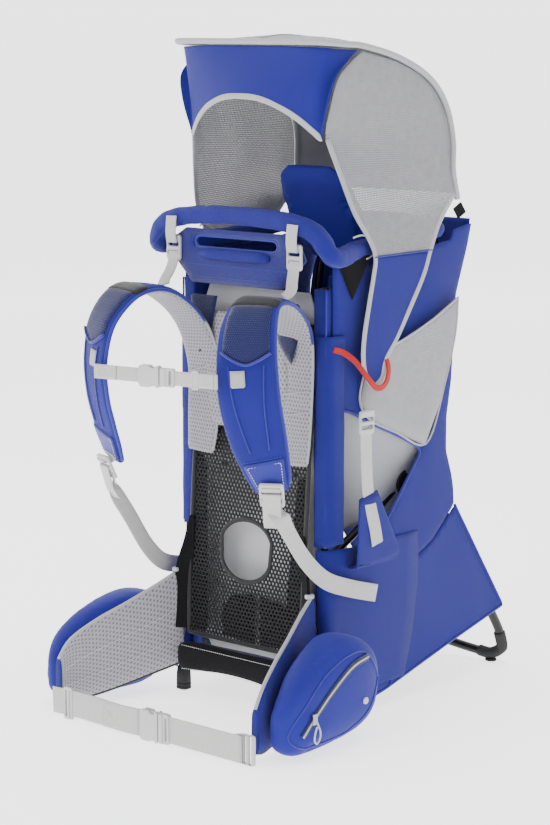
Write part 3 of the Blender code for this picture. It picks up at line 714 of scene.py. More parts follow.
def moulded_plastic(name, colour, roughness=0.38):
    """Acetal or nylon buckles: faint spark-erosion grain and handling marks."""
    m = Tree(name, roughness, specular=0.5)
    grain = m.noise(900.0, 2.0)
    marks = m.noise(60.0, 4.0)
    m.colour(m.mix(marks, shade(colour, 0.93), shade(colour, 1.05)))
    m.rough(marks, roughness - 0.06, roughness + 0.12)
    m.bump(grain, 0.00012, 0.4)
    return m.material


def powder_coat(name, colour):
    """Black powder-coated aluminium tube with slight orange peel and rubbed spots."""
    m = Tree(name, 0.38, metallic=0.35)
    peel = m.noise(420.0, 2.0)
    rub = m.steps(m.noise(22.0, 5.0), 0.55, 0.8)
    m.colour(m.mix(rub, colour, shade(colour, 2.6)))
    m.rough(rub, 0.34, 0.50)
    m.bump(peel, 0.0002, 0.4)
    return m.material


def rubber(name, colour):
    """Moulded rubber with a stippled, dusty surface."""
    m = Tree(name, 0.72, specular=0.3)
    stipple = m.noise(600.0, 2.0)
    dust = m.noise(30.0, 4.0)
    m.colour(m.mix(dust, colour, shade(colour, 2.4)))
    m.bump(stipple, 0.0003, 0.6)
    return m.material


def smooth_lining(name, colour, roughness=0.6):
    """Light plain-weave lining with soft creases, its colour painted darker in the creases' hollows
    and lighter on their crests: painted shade and painted light.
    """
    m = Tree(name, roughness, 0.2, specular=0.3)
    u, v = m.cloth()
    threads = m.waves(u, v, 0.0011)
    creases = m.noise(26.0, 4.0)
    # The colour follows the creases' relief: painted shade in their hollows, painted light on their
    # crests.
    m.colour(m.mix(creases, shade(colour, 0.90), shade(colour, 1.07)))
    m.rough(creases, roughness - 0.06, roughness + 0.10)
    m.bump(m.math("MULTIPLY_ADD", creases, 2.2, m.math("MULTIPLY", threads, 0.4)), 0.0007, 0.5)
    return m.material


BLUE = (0.011, 0.013, 0.21)
NAVY = (0.005, 0.009, 0.060)
OFF_WHITE = (0.50, 0.49, 0.48)
BLACK = (0.004, 0.004, 0.005)


SLOTS = {
    "blue_fabric": ("blue", "blue_board", "blue_edge", "navy", "navy_net"),
    "gray_mesh": ("gray_pad", "gray_net", "pocket_net"), "black_mesh": ("black_net",),
    "black_fabric": ("black_foam", "black_edge"),
    "gray_lining": ("gray_cloth", "lining", "gray_edge"), "webbing": ("webbing",),
    "pale_plastic": ("plastic", "gray_plastic"), "board": ("board",), "black_tube": ("tube",),
    "black_rubber": ("rubber",),
}


def make_materials():
    """Every finish by its name, each marked with the record's slot that it stands for."""
    finishes = {
        "blue": woven_fabric("blue_packcloth", BLUE, sheen=0.06),
        "blue_board": woven_fabric("blue_board_cloth", shade(BLUE, 0.85), 0.2, 0.0034),
        "blue_edge": woven_band("blue_binding", shade(BLUE, 1.15)),
        "navy": woven_fabric("navy_cloth", NAVY, 0.15),
        # The second colour of each spacer mesh is the painted shade in its cell hollows.
        "navy_net": spacer_mesh("navy_pocket_net", NAVY, shade(BLUE, 0.45), 0.0034),
        "gray_pad": spacer_mesh("gray_spacer_mesh", (0.36, 0.35, 0.38), (0.13, 0.13, 0.15), 0.0066),
        "gray_net": open_net("gray_shade_net", (0.38, 0.38, 0.40), (0.27, 0.27, 0.29), 0.0034, 0.9),
        "pocket_net": open_net("gray_pocket_net", (0.44, 0.44, 0.46), (0.34, 0.34, 0.36),
                               0.0030, 1.0),
        "black_net": open_net("black_back_net", (0.007, 0.007, 0.008), BLACK, 0.0066, -0.25),
        "gray_cloth": smooth_lining("gray_shade_cloth", (0.26, 0.27, 0.29)),
        "lining": smooth_lining("gray_lining", (0.34, 0.35, 0.38)),
        "gray_edge": woven_band("gray_binding", (0.38, 0.38, 0.39)),
        "webbing": woven_band("pale_webbing", OFF_WHITE),
        "black_foam": woven_fabric("black_foam_cover", BLACK, 0.3, roughness=0.85, sheen=0.02),
        "black_edge": woven_band("black_binding", (0.006, 0.006, 0.007)),
        "red_band": woven_band("red_webbing", (0.42, 0.004, 0.004)),
        "plastic": moulded_plastic("pale_acetal", (0.50, 0.50, 0.50)),
        "red_plastic": moulded_plastic("red_acetal", (0.60, 0.015, 0.010)),
        "gray_plastic": moulded_plastic("gray_acetal", (0.45, 0.45, 0.47)),
        "board": moulded_plastic("frame_sheet", (0.44, 0.44, 0.46), 0.5),
        "tube": powder_coat("black_powder_coat", BLACK),
        "rubber": rubber("black_rubber", (0.010, 0.010, 0.010)),
        "pale_thread": woven_band("pale_thread", (0.66, 0.66, 0.68)),
        "blue_thread": woven_band("blue_thread", (0.03, 0.06, 0.42)),
    }
    for slot, names in SLOTS.items():
        for name in names:
            finishes[name]["slot"] = slot
    return finishes


# ---------------------------------------------------------------- stage

def make_stage():
    """A pale sweep, soft lamps and an even sky."""
    m = Tree("pale_paper", 0.9, specular=0.1)
    tone = m.noise(3.0, 2.0)
    m.colour(m.mix(tone, (0.80, 0.80, 0.795), (0.82, 0.82, 0.815)))
    profile = [(-SWEEP_REACH, 0.0), (SWEEP_WALL, 0.0)]
    profile += [(SWEEP_WALL + SWEEP_BEND * math.sin(a), SWEEP_BEND - SWEEP_BEND * math.cos(a))
                for a in (math.radians(9 * i) for i in range(1, 11))]
    profile.append((SWEEP_WALL + SWEEP_BEND, SWEEP_REACH))
    rows = [[(x, y, z) for x in (-SWEEP_REACH, 0.0, SWEEP_REACH)] for y, z in profile]
    turn = Matrix.Rotation(CAMERA_AZIMUTH, 4, "Z")
    paper = next(n for n in m.material.node_tree.nodes if n.type == "BSDF_PRINCIPLED")
    paper.inputs["Emission Color"].default_value = (1.0, 1.0, 1.0, 1.0)
    paper.inputs["Emission Strength"].default_value = 1.9
    sweep = skin_rows("sweep", [[turn @ Vector(p) - TO_OBJECT for p in row] for row in rows],
                      m.material)
    for name, energy, size, place in (
            ("key", 92.0, 2.4, (-0.6, -2.9, 2.6)), ("fill", 34.0, 2.6, (3.2, -0.6, 1.6)),
            ("top", 62.0, 2.4, (0.2, 0.6, 3.2)), ("left", 26.0, 1.6, (-2.6, -0.6, 1.2))):
        lamp = bpy.data.lights.new(name, "AREA")
        lamp.energy = energy
        lamp.size = size
        item = bpy.data.objects.new(name, lamp)
        item.location = place
        aim = Vector((0.0, 0.0, 0.45)) - item.location
        item.rotation_euler = aim.to_track_quat("-Z", "Y").to_euler()
        bpy.context.scene.collection.objects.link(item)
    world = bpy.data.worlds.new("studio")
    world.use_nodes = True
    background = world.node_tree.nodes["Background"]
    background.inputs["Color"].default_value = (0.95, 0.96, 1.0, 1.0)
    background.inputs["Strength"].default_value = 0.60
    bpy.context.scene.world = world


def make_camera():
    """The studio camera at the photograph's angle."""
    data = bpy.data.cameras.new("camera")
    data.sensor_fit = "VERTICAL"
    data.sensor_height = 36.0
    data.lens = CAMERA_LENS
    item = bpy.data.objects.new("camera", data)
    side = math.sin(CAMERA_AZIMUTH)
    back = math.cos(CAMERA_AZIMUTH)
    item.location = (side * CAMERA_DISTANCE + back * CAMERA_SIDE,
                     -back * CAMERA_DISTANCE + side * CAMERA_SIDE + TO_OBJECT.y, CAMERA_HEIGHT)
    item.rotation_euler = (math.pi / 2 - CAMERA_DROP, 0.0, CAMERA_AZIMUTH)
    bpy.context.scene.collection.objects.link(item)
    bpy.context.scene.camera = item


# ---------------------------------------------------------------- frame and stand

def make_frame(m):
    """The tubes with their true round section, the hinge discs and the moulded rubber feet."""
    upright = mirrored([(-UPRIGHT_X, UPRIGHT_Y, 0.600), (-UPRIGHT_X, UPRIGHT_Y, 0.240),
                        (-UPRIGHT_X, UPRIGHT_Y, 0.200), (-0.140, 0.014, 0.085),
                        (-0.147, 0.010, 0.048), (-0.134, 0.010, 0.031), (-0.105, 0.010, 0.030),
                        (0.0, 0.010, 0.030)])
    hoop = mirrored([(-HOOP_X, 0.0400, 0.209), (-HOOP_X, 0.080, 0.223), (-HOOP_X, 0.215, 0.300),
                     (-HOOP_X, 0.262, 0.360), (-HOOP_X, 0.274, 0.450), (-HOOP_X, 0.278, 0.550),
                     (-0.105, 0.292, 0.625), (-0.080, 0.308, 0.668), (0.0, 0.312, 0.676)])
    stand = mirrored([(-STAND_X, 0.215, 0.300), (-STAND_X, 0.258, 0.281),
                      (-STAND_X, 0.290, 0.246), (-STAND_X, 0.350, 0.160),
                      (-STAND_X, 0.412, 0.072), (-STAND_X, 0.438, 0.030),
                      (-0.124, 0.446, 0.007), (-0.108, 0.441, -0.003), (-0.075, 0.431, 0.002),
                      (0.0, 0.420, 0.012)])
    for node, route, radius, body in (("main_frame_tube", upright, 0.006, "pack"),
                                      ("rear_hoop_tube", hoop, 0.006, "pack"),
                                      ("kickstand_tube", stand, 0.007, "kickstand")):
        route = vectors(smooth(route, 8))
        route = [a for i, a in enumerate(route) if i == 0 or (a - route[i - 1]).length > 0.0008]
        attach(tube(node.replace("_tube", "_pipe"), route, radius, m["tube"]), body, node)
    for side, sign in SIDES.items():
        make_front_foot(m, side, sign)
        make_stand_foot(m, side, sign)
        make_stand_hub(m, side, sign)


def make_front_foot(m, side, sign):
    """A rubber boot under an upright, ribbed near its sole."""
    levels = [(-0.015, 0.0185, 0.0165), (-0.0145, 0.020, 0.018), (-0.011, 0.020, 0.018),
              (-0.0102, 0.0185, 0.0165), (-0.0094, 0.020, 0.018), (-0.006, 0.020, 0.018),
              (-0.0052, 0.0185, 0.0165), (-0.0044, 0.020, 0.018), (0.010, 0.019, 0.017),
              (0.0185, 0.0165, 0.015), (0.021, 0.013, 0.012)]
    frames = [(Vector((sign * 0.136, 0.010, z)), X_AXIS, Y_AXIS) for z, _, _ in levels]
    item = loft(f"front_boot_{side}", frames, [w for _, w, _ in levels],
                [d for _, _, d in levels], section(24, 3.4), m["rubber"])
    attach(item, "pack", f"front_foot_{side}")


def make_stand_foot(m, side, sign):
    """The sole pad under the stand's bend and the rubber sleeve round the tube above it."""
    levels = [(0.0, 0.0165), (0.0006, 0.018), (0.0030, 0.018), (0.0040, 0.015)]
    frames = [(Vector((sign * 0.108, 0.441, FLOOR_Z + z)), X_AXIS, Y_AXIS) for z, _ in levels]
    sole = loft(f"stand_boot_{side}", frames, [w for _, w in levels], [w for _, w in levels],
                section(24, 2.0), m["rubber"])
    route = vectors(smooth(flipped([(0.128, 0.434, 0.036), (0.1275, 0.441, 0.020),
                                    (0.124, 0.446, 0.007), (0.108, 0.441, -0.003),
                                    (0.088, 0.435, 0.000)], sign), 6))
    widths = [0.0178] * len(route)
    widths[0] = widths[-1] = 0.0150
    sleeve = loft("sleeve", frames_along(route), widths, widths, ROUND, m["rubber"])
    attach(join(f"stand_boot_{side}", [sole, sleeve]), "kickstand", f"stand_foot_{side}")


def make_stand_hub(m, side, sign):
    """The hinge disc with its raised rim and pin head."""
    steps = [(0.0, 0.037), (0.0006, 0.0395), (0.0050, 0.0395), (0.0058, 0.037), (0.0052, 0.030),
             (0.0052, 0.014), (0.0060, 0.012), (0.0060, 0.004)]
    frames = [(Vector((sign * (0.1145 + x), 0.215, 0.300)), Y_AXIS, Z_AXIS) for x, _ in steps]
    item = loft(f"hinge_disc_{side}", frames, [w for _, w in steps], [w for _, w in steps],
                section(32, 2.0), m["rubber"])
    attach(item, "pack", f"stand_hub_{side}")


# ---------------------------------------------------------------- back

def on_mesh_plane(u, v, lift=0.0):
    """A place on the leaning back mesh; u across, v up from its middle, lift to the wearer."""
    lean = MESH_LEAN
    return MESH_MIDDLE + Vector((u, v * math.sin(lean) - lift * math.cos(lean),
                                 v * math.cos(lean) + lift * math.sin(lean)))


def make_back(m):
    """The frame sheet, the tensioned net with its oval window, and the foam behind it."""
    board = [(-0.095, 0.055), (0.095, 0.055), (0.108, 0.075), (0.108, 0.560), (0.095, 0.590),
             (-0.095, 0.590), (-0.108, 0.560), (-0.108, 0.075)]
    slots = [[(u + x, v + z) for u, v in rounded_box(0.020, 0.005, 0.0024, 3)]
             for x in (-0.068, 0.068) for z in (0.120, 0.330, 0.400, 0.470)]
    item = panel("frame_sheet", board,
                 lambda u, v, d: Vector((u, BOARD_Y + 0.002 * math.cos(u / 0.035), v)),
                 m["board"], 0.010, slots, 0.003)
    attach(item, "pack", "back_board")
    low = MESH_MIDDLE.z
    window = (arc((0.0, 0.222 - low), 0.050, 0.038, 15, 165, 14)
              + arc((0.0, 0.208 - low), 0.048, 0.038, 195, 345, 14))
    net = [(-0.106, 0.080 - low), (0.106, 0.080 - low), (0.110, 0.160 - low),
           (0.110, 0.545 - low), (-0.110, 0.545 - low), (-0.110, 0.160 - low)]
    item = panel("back_net", net, lambda u, v, d: on_mesh_plane(u, v, -0.0015 * (u / 0.11) ** 2),
                 m["black_net"], 0.008, [window], 0.0016)
    attach(item, "pack", "back_mesh")
    edge = [on_mesh_plane(u, v, 0.001) for u, v in window]
    ring = ring_tube("window_binding", edge, 0.0034, m["black_edge"], 0.55)
    border = spread_along([on_mesh_plane(u, v) for u, v in net + net[:1]], 0.01)[:-1]
    frame_ring = ring_tube("net_binding", border, 0.0036, m["black_edge"], 0.6)
    attach(join("net_bindings", [ring, frame_ring]), "pack")
    for side, sign in SIDES.items():
        strip = [(sign * u, v - low) for u, v in ((0.074, 0.085), (0.104, 0.085), (0.108, 0.160),
                                                  (0.108, 0.330), (0.088, 0.330), (0.080, 0.200))]
        item = panel(f"net_side_{side}", strip, lambda u, v, d: on_mesh_plane(u, v, -0.004),
                     m["black_foam"], 0.010, thickness=0.0012)
        attach(item, "pack")
        foam = [(sign * u, v) for u, v in ((0.006, 0.072), (0.066, 0.078), (0.070, 0.110),
                                           (0.050, 0.138), (0.006, 0.146))]
        item = panel(f"frame_foam_{side}", foam,
                     lambda u, v, d: Vector((u, 0.0235 - 0.006 * (1 - math.exp(-d / 0.006)), v)),
                     m["black_foam"], 0.006, thickness=0.003)
        attach(item, "pack")
    make_lumbar(m)
    make_sleeves(m)
    for side, sign in SIDES.items():
        make_fin_root(m, side, sign)


def make_lumbar(m):
    """The foam roll across the small of the back, its lower edge arched."""
    count = 12
    frames = []
    widths = []
    depths = []
    for i in range(count + 1):
        share = 2 * i / count - 1
        low = 0.021 + 0.014 * (1 - share * share)
        top = 0.073 - 0.003 * (1 - share * share)
        frames.append((Vector((0.1155 * share, -0.022, (low + top) / 2)), Z_AXIS, Y_AXIS))
        end = (1 - abs(share) ** 8) * 0.3 + 0.7
        widths.append((top - low) * end)
        depths.append(0.019 * end)
    item = loft("lumbar_roll", frames, widths, depths, section(20, 3.0), m["black_foam"])
    item = subdivide(item)
    attach(item, "pack", "lumbar_pad")
    for z in (0.066, 0.030):
        stitch("pack", [Vector((x * 0.01, -0.0322, z + 0.006 * (1 - (x / 10.5) ** 2) * (z < 0.05)))
                        for x in range(-10, 11)])


def make_sleeves(m):
    """Padded cloth sleeves round the uprights, with piping down their front corners."""
    for side, sign in SIDES.items():
        levels = [0.236 + 0.362 * i / 36 for i in range(37)]
        frames = []
        sizes = []
        for z in levels:
            pull = 0.0006 * ripple((sign * 0.3, 0.0, z), 0.022)
            frames.append((Vector((sign * UPRIGHT_X + pull, UPRIGHT_Y, z)), X_AXIS, Y_AXIS))
            sizes.append(0.0244 + 0.0010 * ripple((0.0, sign * 0.7, z), 0.03))
        item = loft(f"sleeve_cover_{side}", frames, sizes, sizes, SLEEVE, m["blue"])
        attach(item, "pack", f"upright_sleeve_{side}")
        x = sign * (UPRIGHT_X + 0.0117)
        route = [Vector((x, UPRIGHT_Y - 0.0117, z)) for z in levels]
        attach(tube(f"sleeve_piping_{side}", route, 0.0014, m["blue_edge"]), "pack")


# ---------------------------------------------------------------- cockpit

def rim_route():
    half = [(-0.134, 0.270, 0.668, 0.024), (-0.134, 0.160, 0.655, 0.024),
            (-0.138, 0.080, 0.650, 0.024), (-0.155, 0.030, 0.645, 0.026),
            (-0.164, -0.006, 0.648, 0.026), (-0.142, -0.015, 0.678, 0.026),
            (-0.092, -0.016, 0.691, 0.026), (0.0, -0.016, 0.695, 0.026)]
    return smooth(mirrored(half), 7)


def make_rim(m):
    """The padded roll round the cockpit, puckered at its seams, with its piping."""
    route = rim_route()
    places = vectors(route)
    frames = []
    sizes = []
    last = len(places) - 1
    for i, centre in enumerate(places):
        along = (places[min(i + 1, last)] - places[max(i - 1, 0)]).normalized()
        level = along.cross(Z_AXIS)
        if abs(centre.x) < 0.15 and centre.y < 0.0:
            level = -Y_AXIS
        level = (level - along * level.dot(along)).normalized()
        frames.append((centre, level, level.cross(along)))
        pucker = 0.0007 * math.cos(i * 1.9) + 0.0012 * ripple(centre, 0.03)
        end = 0.6 if i in (0, last) else 1.0
        sizes.append((float(route[i][3]) + pucker) * end)
    item = loft("cockpit_roll", frames, sizes, sizes, section(28, 2.6), m["blue"])
    attach(item, "pack", "cockpit_rim")
    for lift, out, name in ((0.9, -0.55, "upper"), (-0.9, 0.55, "lower")):
        line = [centre + deep * (size * 0.46 * lift) + wide * (size * 0.46 * out)
                for (centre, wide, deep), size in zip(frames[2:-2], sizes[2:-2])]
        attach(tube(f"rim_piping_{name}", line, 0.0015, m["blue_edge"]), "pack")


def make_yoke(m):
    """The board under the rim with the hand slot, the rolled grip and the elastic cords."""
    outline = [(-0.085, 0.598), (0.085, 0.598), (0.128, 0.640), (0.118, 0.660), (0.096, 0.6735),
               (-0.096, 0.6735), (-0.118, 0.660), (-0.128, 0.640)]
    slot = (arc((0.068, 0.656), 0.010, 0.0085, -90, 90, 8)
            + arc((-0.068, 0.656), 0.010, 0.0085, 90, 270, 8))

    def place(u, v, d):
        puffed = 0.0035 * (1 - math.exp(-d / 0.006))
        return Vector((u, -0.0170 - puffed, v))

    item = panel("yoke_board", outline, place, m["blue_board"], 0.006, [slot], 0.005)
    attach(item, "pack", "top_board")
    route = [Vector((-0.066 + 0.132 * i / 24, -0.0235, 0.6395)) for i in range(25)]
    sizes = [0.0150 * min(1.0, 0.45 + 2.2 * min(i, 24 - i) / 24 * 2) for i in range(25)]
    grip = loft("handle_grip", frames_along(route, Z_AXIS), sizes, sizes, section(16, 2.4), m["blue"])
    attach(grip, "pack")
    ring = ring_tube("slot_binding", [place(u, v, 0.0) + Vector((0.0, -0.002, 0.0))
                                      for u, v in slot], 0.0022, m["blue_edge"], 0.8)
    attach(ring, "pack")
    for z, half in ((0.6235, 0.098), (0.6065, 0.088)):
        stitch("pack", [Vector((x * half / 10, -0.0234, z)) for x in range(-10, 11)],
               thread="blue")
    for side, sign in SIDES.items():
        make_yoke_corner(m, side, sign)


def make_yoke_corner(m, side, sign):
    """Load-lifter lock and webbing, the stretch wedge and the elastic cord at one corner."""
    x = sign * 0.1145
    matrix = frame_matrix((x, -0.0262, 0.645), X_AXIS, Z_AXIS)
    lock = ladder_lock("lock", matrix, LIFTER_WIDTH, 0.027, 0.036, 0.0065, m["plastic"])
    attach(join(f"lifter_buckle_{side}", [lock]), "pack", f"lifter_lock_{side}")
    route = flipped([(0.1145, -0.0262, 0.640), (0.1145, -0.0285, 0.626), (0.1165, -0.0335, 0.612),
                     (0.1200, -0.0400, 0.6000), (0.1150, -0.0480, 0.5925)], sign)
    item = webbing(f"lifter_strap_{side}", vectors(smooth(route, 4)), LIFTER_WIDTH, m["webbing"],
                   X_AXIS)
    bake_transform(item)
    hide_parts(f"lifter_webbing_{side}")
    tail = flipped([(0.1145, -0.0310, 0.652), (0.1145, -0.0330, 0.664), (0.1145, -0.0325, 0.676),
                    (0.1150, -0.0305, 0.690)], sign)
    attach(webbing(f"lifter_tail_{side}", vectors(smooth(tail, 4)), LIFTER_WIDTH, m["webbing"],
                   X_AXIS), "pack")
    wedge = [(0.023, 0.649), (0.105, 0.650), (0.061, 0.581)]
    item = panel(f"stretch_wedge_{side}", [(y, z) for y, z in wedge],
                 lambda u, v, d: Vector((sign * (0.1440 + 0.0022 * (1 - math.exp(-d / 0.008))),
                                         u, v)), m["black_foam"], 0.006, thickness=0.0012)
    attach(item, "pack")
    make_elastic(m, side, sign)


def make_elastic(m, side, sign):
    """A white elastic cord that hooks round from the rim."""
    route = flipped([(0.146, 0.060, 0.668), (0.151, 0.074, 0.671), (0.153, 0.092, 0.664),
                     (0.150, 0.104, 0.652), (0.1475, 0.100, 0.641), (0.1470, 0.088, 0.637)], sign)
    add_cord(f"elastic_{side}", route, 3, 0.0026, m["webbing"], "pack")


def ladder_lock(name, matrix, strap, width, height, thickness, finish):
    """A ladder lock: a rounded frame with two slots and a raised, ribbed lip."""
    gap = height * 0.17
    slots = []
    for level in (-0.20, 0.13):
        slots.append([(u, v + level * height)
                      for u, v in rounded_box(strap + 0.002, gap, gap * 0.45, 3)])
    body = flat_plate(name, rounded_box(width, height, 0.004), thickness * 0.62, finish, matrix,
                      slots, 0.0010)
    lip = matrix @ Matrix.Translation((0.0, height * 0.40, thickness * 0.25))
    bars = [body, flat_plate("lip", rounded_box(width * 0.92, height * 0.16, 0.0022),
                             thickness * 0.5, finish, lip, (), 0.0010)]
    for level in (-0.035, 0.0):
        rib = matrix @ Matrix.Translation((0.0, height * level, thickness * 0.28))
        bars.append(flat_plate("rib", rounded_box(strap + 0.003, 0.0018, 0.0008),
                               thickness * 0.3, finish, rib, (), 0.0004))
    return join(name, bars)


# ---------------------------------------------------------------- bag

SIDE_OUTLINE = [
    (0.024, 0.630), (0.024, 0.430), (0.060, 0.424), (0.100, 0.405), (0.160, 0.380),
    (0.222, 0.352), (0.147, 0.262), (0.105, 0.222), (0.105, 0.190), (0.196, 0.187),
    (0.250, 0.212), (0.300, 0.258), (0.298, 0.285), (0.293, 0.305), (0.280, 0.341),
    (0.280, 0.391), (0.290, 0.444), (0.299, 0.570), (0.325, 0.640), (0.334, 0.672),
    (0.290, 0.664), (0.285, 0.650), (0.160, 0.637), (0.080, 0.632)]
LEG_EDGE = [(0.024, 0.430), (0.060, 0.424), (0.100, 0.405), (0.160, 0.380), (0.205, 0.359),
            (0.217, 0.347), (0.205, 0.330), (0.147, 0.262), (0.108, 0.226), (0.105, 0.210),
            (0.105, 0.192)]
REAR_PROFILE = [(0.336, 0.678), (0.328, 0.640), (0.300, 0.570), (0.291, 0.444), (0.281, 0.391),
                (0.281, 0.341), (0.294, 0.305), (0.299, 0.285), (0.302, 0.259)]


def side_place(sign, y, z, depth=0.01):
    """A place on a side panel: it swells a little between its seams and carries soft folds."""
    swell = 0.0018 * (1 - math.exp(-depth / 0.018))
    folds = 0.0012 * ripple((sign * 0.2, y, z), 0.045) * min(1.0, depth / 0.01)
    return Vector((sign * (SIDE_X + swell + folds - 0.0006), y, z))


def make_sides(m):
    """Side panels with their bound leg openings, the lining seen through them and the seams."""
    for side, sign in SIDES.items():
        item = panel(f"side_cloth_{side}", SIDE_OUTLINE,
                     lambda u, v, d: side_place(sign, u, v, d), m["blue"], 0.0075)
        attach(item, "pack", f"side_panel_{side}")
        edge = [Vector((sign * (SIDE_X + 0.0004), y, z))
                for y, z in smooth(LEG_EDGE, 4)]
        attach(tube(f"leg_binding_{side}", spread_along(edge, 0.005), 0.0022, m["blue_edge"], 0.8),
               "pack")
        seam = [side_place(sign, y, z) + X_AXIS * (sign * 0.0012)
                for y, z in smooth([(0.112, 0.500), (0.106, 0.470), (0.090, 0.436)], 5)]
        attach(tube(f"side_seam_{side}", seam, 0.0011, m["blue_edge"]), "pack")
        make_leg_lining(m, side, sign)
        make_upright_cover(m, side, sign)
        make_base_panel(m, side, sign)
        make_side_pocket(m, side, sign)


def make_upright_cover(m, side, sign):
    """The cloth that closes the corner between an upright's sleeve and the side panel."""
    rows = []
    for z in (0.240, 0.290, 0.340, 0.390, 0.440, 0.490, 0.534):
        rows.append([(sign * x, y, z) for x, y in ((0.1180, 0.0132), (0.1285, 0.0128),
                                                   (0.1390, 0.0150), (0.1440, 0.0250),
                                                   (0.1445, 0.0440))])
    item = surface(f"upright_cover_{side}", rows, m["blue"], 3, 5)
    crumple(item, 0.0007, 0.04, sign)
    item = thicken(item, 0.0012)
    attach(item, "pack")


def make_base_panel(m, side, sign):
    """The packcloth over the frame's lower side, wrapped round the tube in front."""
    levels = [(0.232, 0.1255, 0.0250, 0.212), (0.190, 0.1290, 0.0210, 0.214),
              (0.150, 0.1330, 0.0185, 0.212), (0.110, 0.1370, 0.0160, 0.206),
              (0.075, 0.1415, 0.0130, 0.198), (0.045, 0.1450, 0.0110, 0.190),
              (0.020, 0.1440, 0.0110, 0.184)]
    rows = []
    for z, x, y, rear in levels:
        rows.append([(sign * a, b, z) for a, b in (
            (x - 0.006, y - 0.0110), (x + 0.0070, y - 0.0090), (x + 0.0110, y + 0.0040),
            (max(x + 0.0050, 0.1440), y + 0.0300), (0.1440, 0.110), (0.1430, rear))])
    item = surface(f"base_cloth_{side}", rows, m["blue"], 3, 4)
    crumple(item, 0.0012, 0.05, sign)
    item = thicken(item, 0.0012)
    attach(item, "pack")


def make_leg_lining(m, side, sign):
    """Light lining inside a leg opening: it slopes from the opening's edge in to the floor."""
    outer = [(0.024, 0.440), (0.060, 0.434), (0.104, 0.416), (0.168, 0.392), (0.236, 0.360)]
    middle = [(0.026, 0.395), (0.070, 0.385), (0.120, 0.370), (0.176, 0.346), (0.232, 0.318)]
    lower = [(0.030, 0.320), (0.078, 0.310), (0.120, 0.300), (0.170, 0.290), (0.218, 0.276)]
    foot = [(0.034, 0.240), (0.080, 0.245), (0.122, 0.250), (0.160, 0.250), (0.200, 0.250)]
    rows = []
    for x, row in ((0.1365, outer), (0.122, middle), (0.112, lower), (0.108, foot)):
        rows.append([(sign * x, y, z) for y, z in row])
    item = surface(f"leg_lining_{side}", rows, m["lining"], 4, 5)
    crumple(item, 0.0022, 0.03)
    item = thicken(item, 0.0012)
    attach(item, "pack")


def crumple(item, amount, size, seed=0.0):
    """Moves a sheet's places along its normals by smooth noise."""
    data = item.data
    normals = [Vector(v.normal) for v in data.vertices]
    for vertex, normal in zip(data.vertices, normals):
        vertex.co += normal * (amount * ripple(vertex.co, size, seed))
    data.update()


def make_rear(m):
    """The back of the bag: a crowned cloth over the hoop with seams, a zipped pocket and a tag."""
    rows = []
    profile = smooth(REAR_PROFILE, 4)
    last = len(profile) - 1
    for i, (y, z) in enumerate(profile):
        crown = 0.006 * math.sin(math.pi * i / last)
        row = []
        for column in range(19):
            share = column / 9 - 1
            fold = 0.0015 * ripple((share * 0.13, y, z), 0.05, 2.0) * (1 - abs(share) ** 4)
            row.append((0.1375 * share, y - 0.002 + crown * (1 - share ** 4) + fold, z))
        rows.append(row)
    item = skin_rows("rear_cloth", rows, m["blue"])
    item = thicken(item, 0.0016)
    attach(item, "pack", "rear_panel")
    for step in (8, 20):
        row = [Vector(p) + Vector((0.0, 0.0018, 0.0)) for p in rows[step]]
        attach(tube(f"rear_seam_{step}", row, 0.0012, m["blue_edge"]), "pack")
    zip_row = [Vector(p) + Vector((0.0, 0.0022, 0.0)) for p in rows[12][3:16]]
    attach(webbing("rear_zip", zip_row, 0.009, m["navy"], Z_AXIS, 0.0016), "pack")
    teeth = [p + Vector((0.0, 0.0010, 0.0)) for p in zip_row]
    attach(tube("rear_zip_teeth", teeth, 0.0013, m["gray_plastic"]), "pack")
    make_haul_loop(m)


def make_haul_loop(m):
    """The grab loop and the red clip at the top of the back."""
    route = smooth([(0.050, 0.3265, 0.640), (0.048, 0.3320, 0.648), (0.030, 0.3375, 0.655),
                    (0.0, 0.3390, 0.657), (-0.030, 0.3375, 0.655), (-0.048, 0.3320, 0.648),
                    (-0.050, 0.3265, 0.640)], 5)
    attach(webbing("haul_loop", vectors(route), 0.018, m["webbing"], Z_AXIS), "pack")
    strap = smooth([(0.118, 0.3290, 0.655), (0.1185, 0.3310, 0.635), (0.118, 0.3270, 0.612),
                    (0.117, 0.3175, 0.592)], 5)
    attach(webbing("clip_strap", vectors(strap), 0.014, m["blue_edge"], X_AXIS), "pack")
    matrix = frame_matrix((0.1182, 0.3335, 0.640), X_AXIS, Z_AXIS)
    clip = flat_plate("clip", rounded_box(0.019, 0.034, 0.006), 0.0045, m["red_plastic"], matrix,
                      [rounded_box(0.011, 0.013, 0.004)], 0.0012)
    attach(join("red_clip", [clip]), "pack")
    tag = frame_matrix((0.1300, 0.3190, 0.690), (0.8, 0.0, 0.6), (-0.6, 0.1, 0.8))
    attach(flat_plate("blank_tag", rounded_box(0.018, 0.018, 0.0012), 0.0018, m["black_edge"], tag,
                      (), 0.0005), "pack")


def make_cockpit(m):
    """Floor, raised seat, headrest and the child's harness."""
    rows = []
    for i in range(9):
        y = 0.049 + 0.232 * i / 8
        rows.append([(x, y, 0.2675 + 0.004 * (x / 0.098) ** 2 - 0.0012
                      + 0.0012 * ripple((x, y, 0.0), 0.05))
                     for x in [0.098 * (j / 5 - 1) for j in range(11)]])
    item = thicken(skin_rows("floor_cloth", rows, m["lining"]), 0.0014)
    attach(item, "pack", "cockpit_floor")
    make_seat(m)
    make_headrest(m)
    make_child_harness(m)


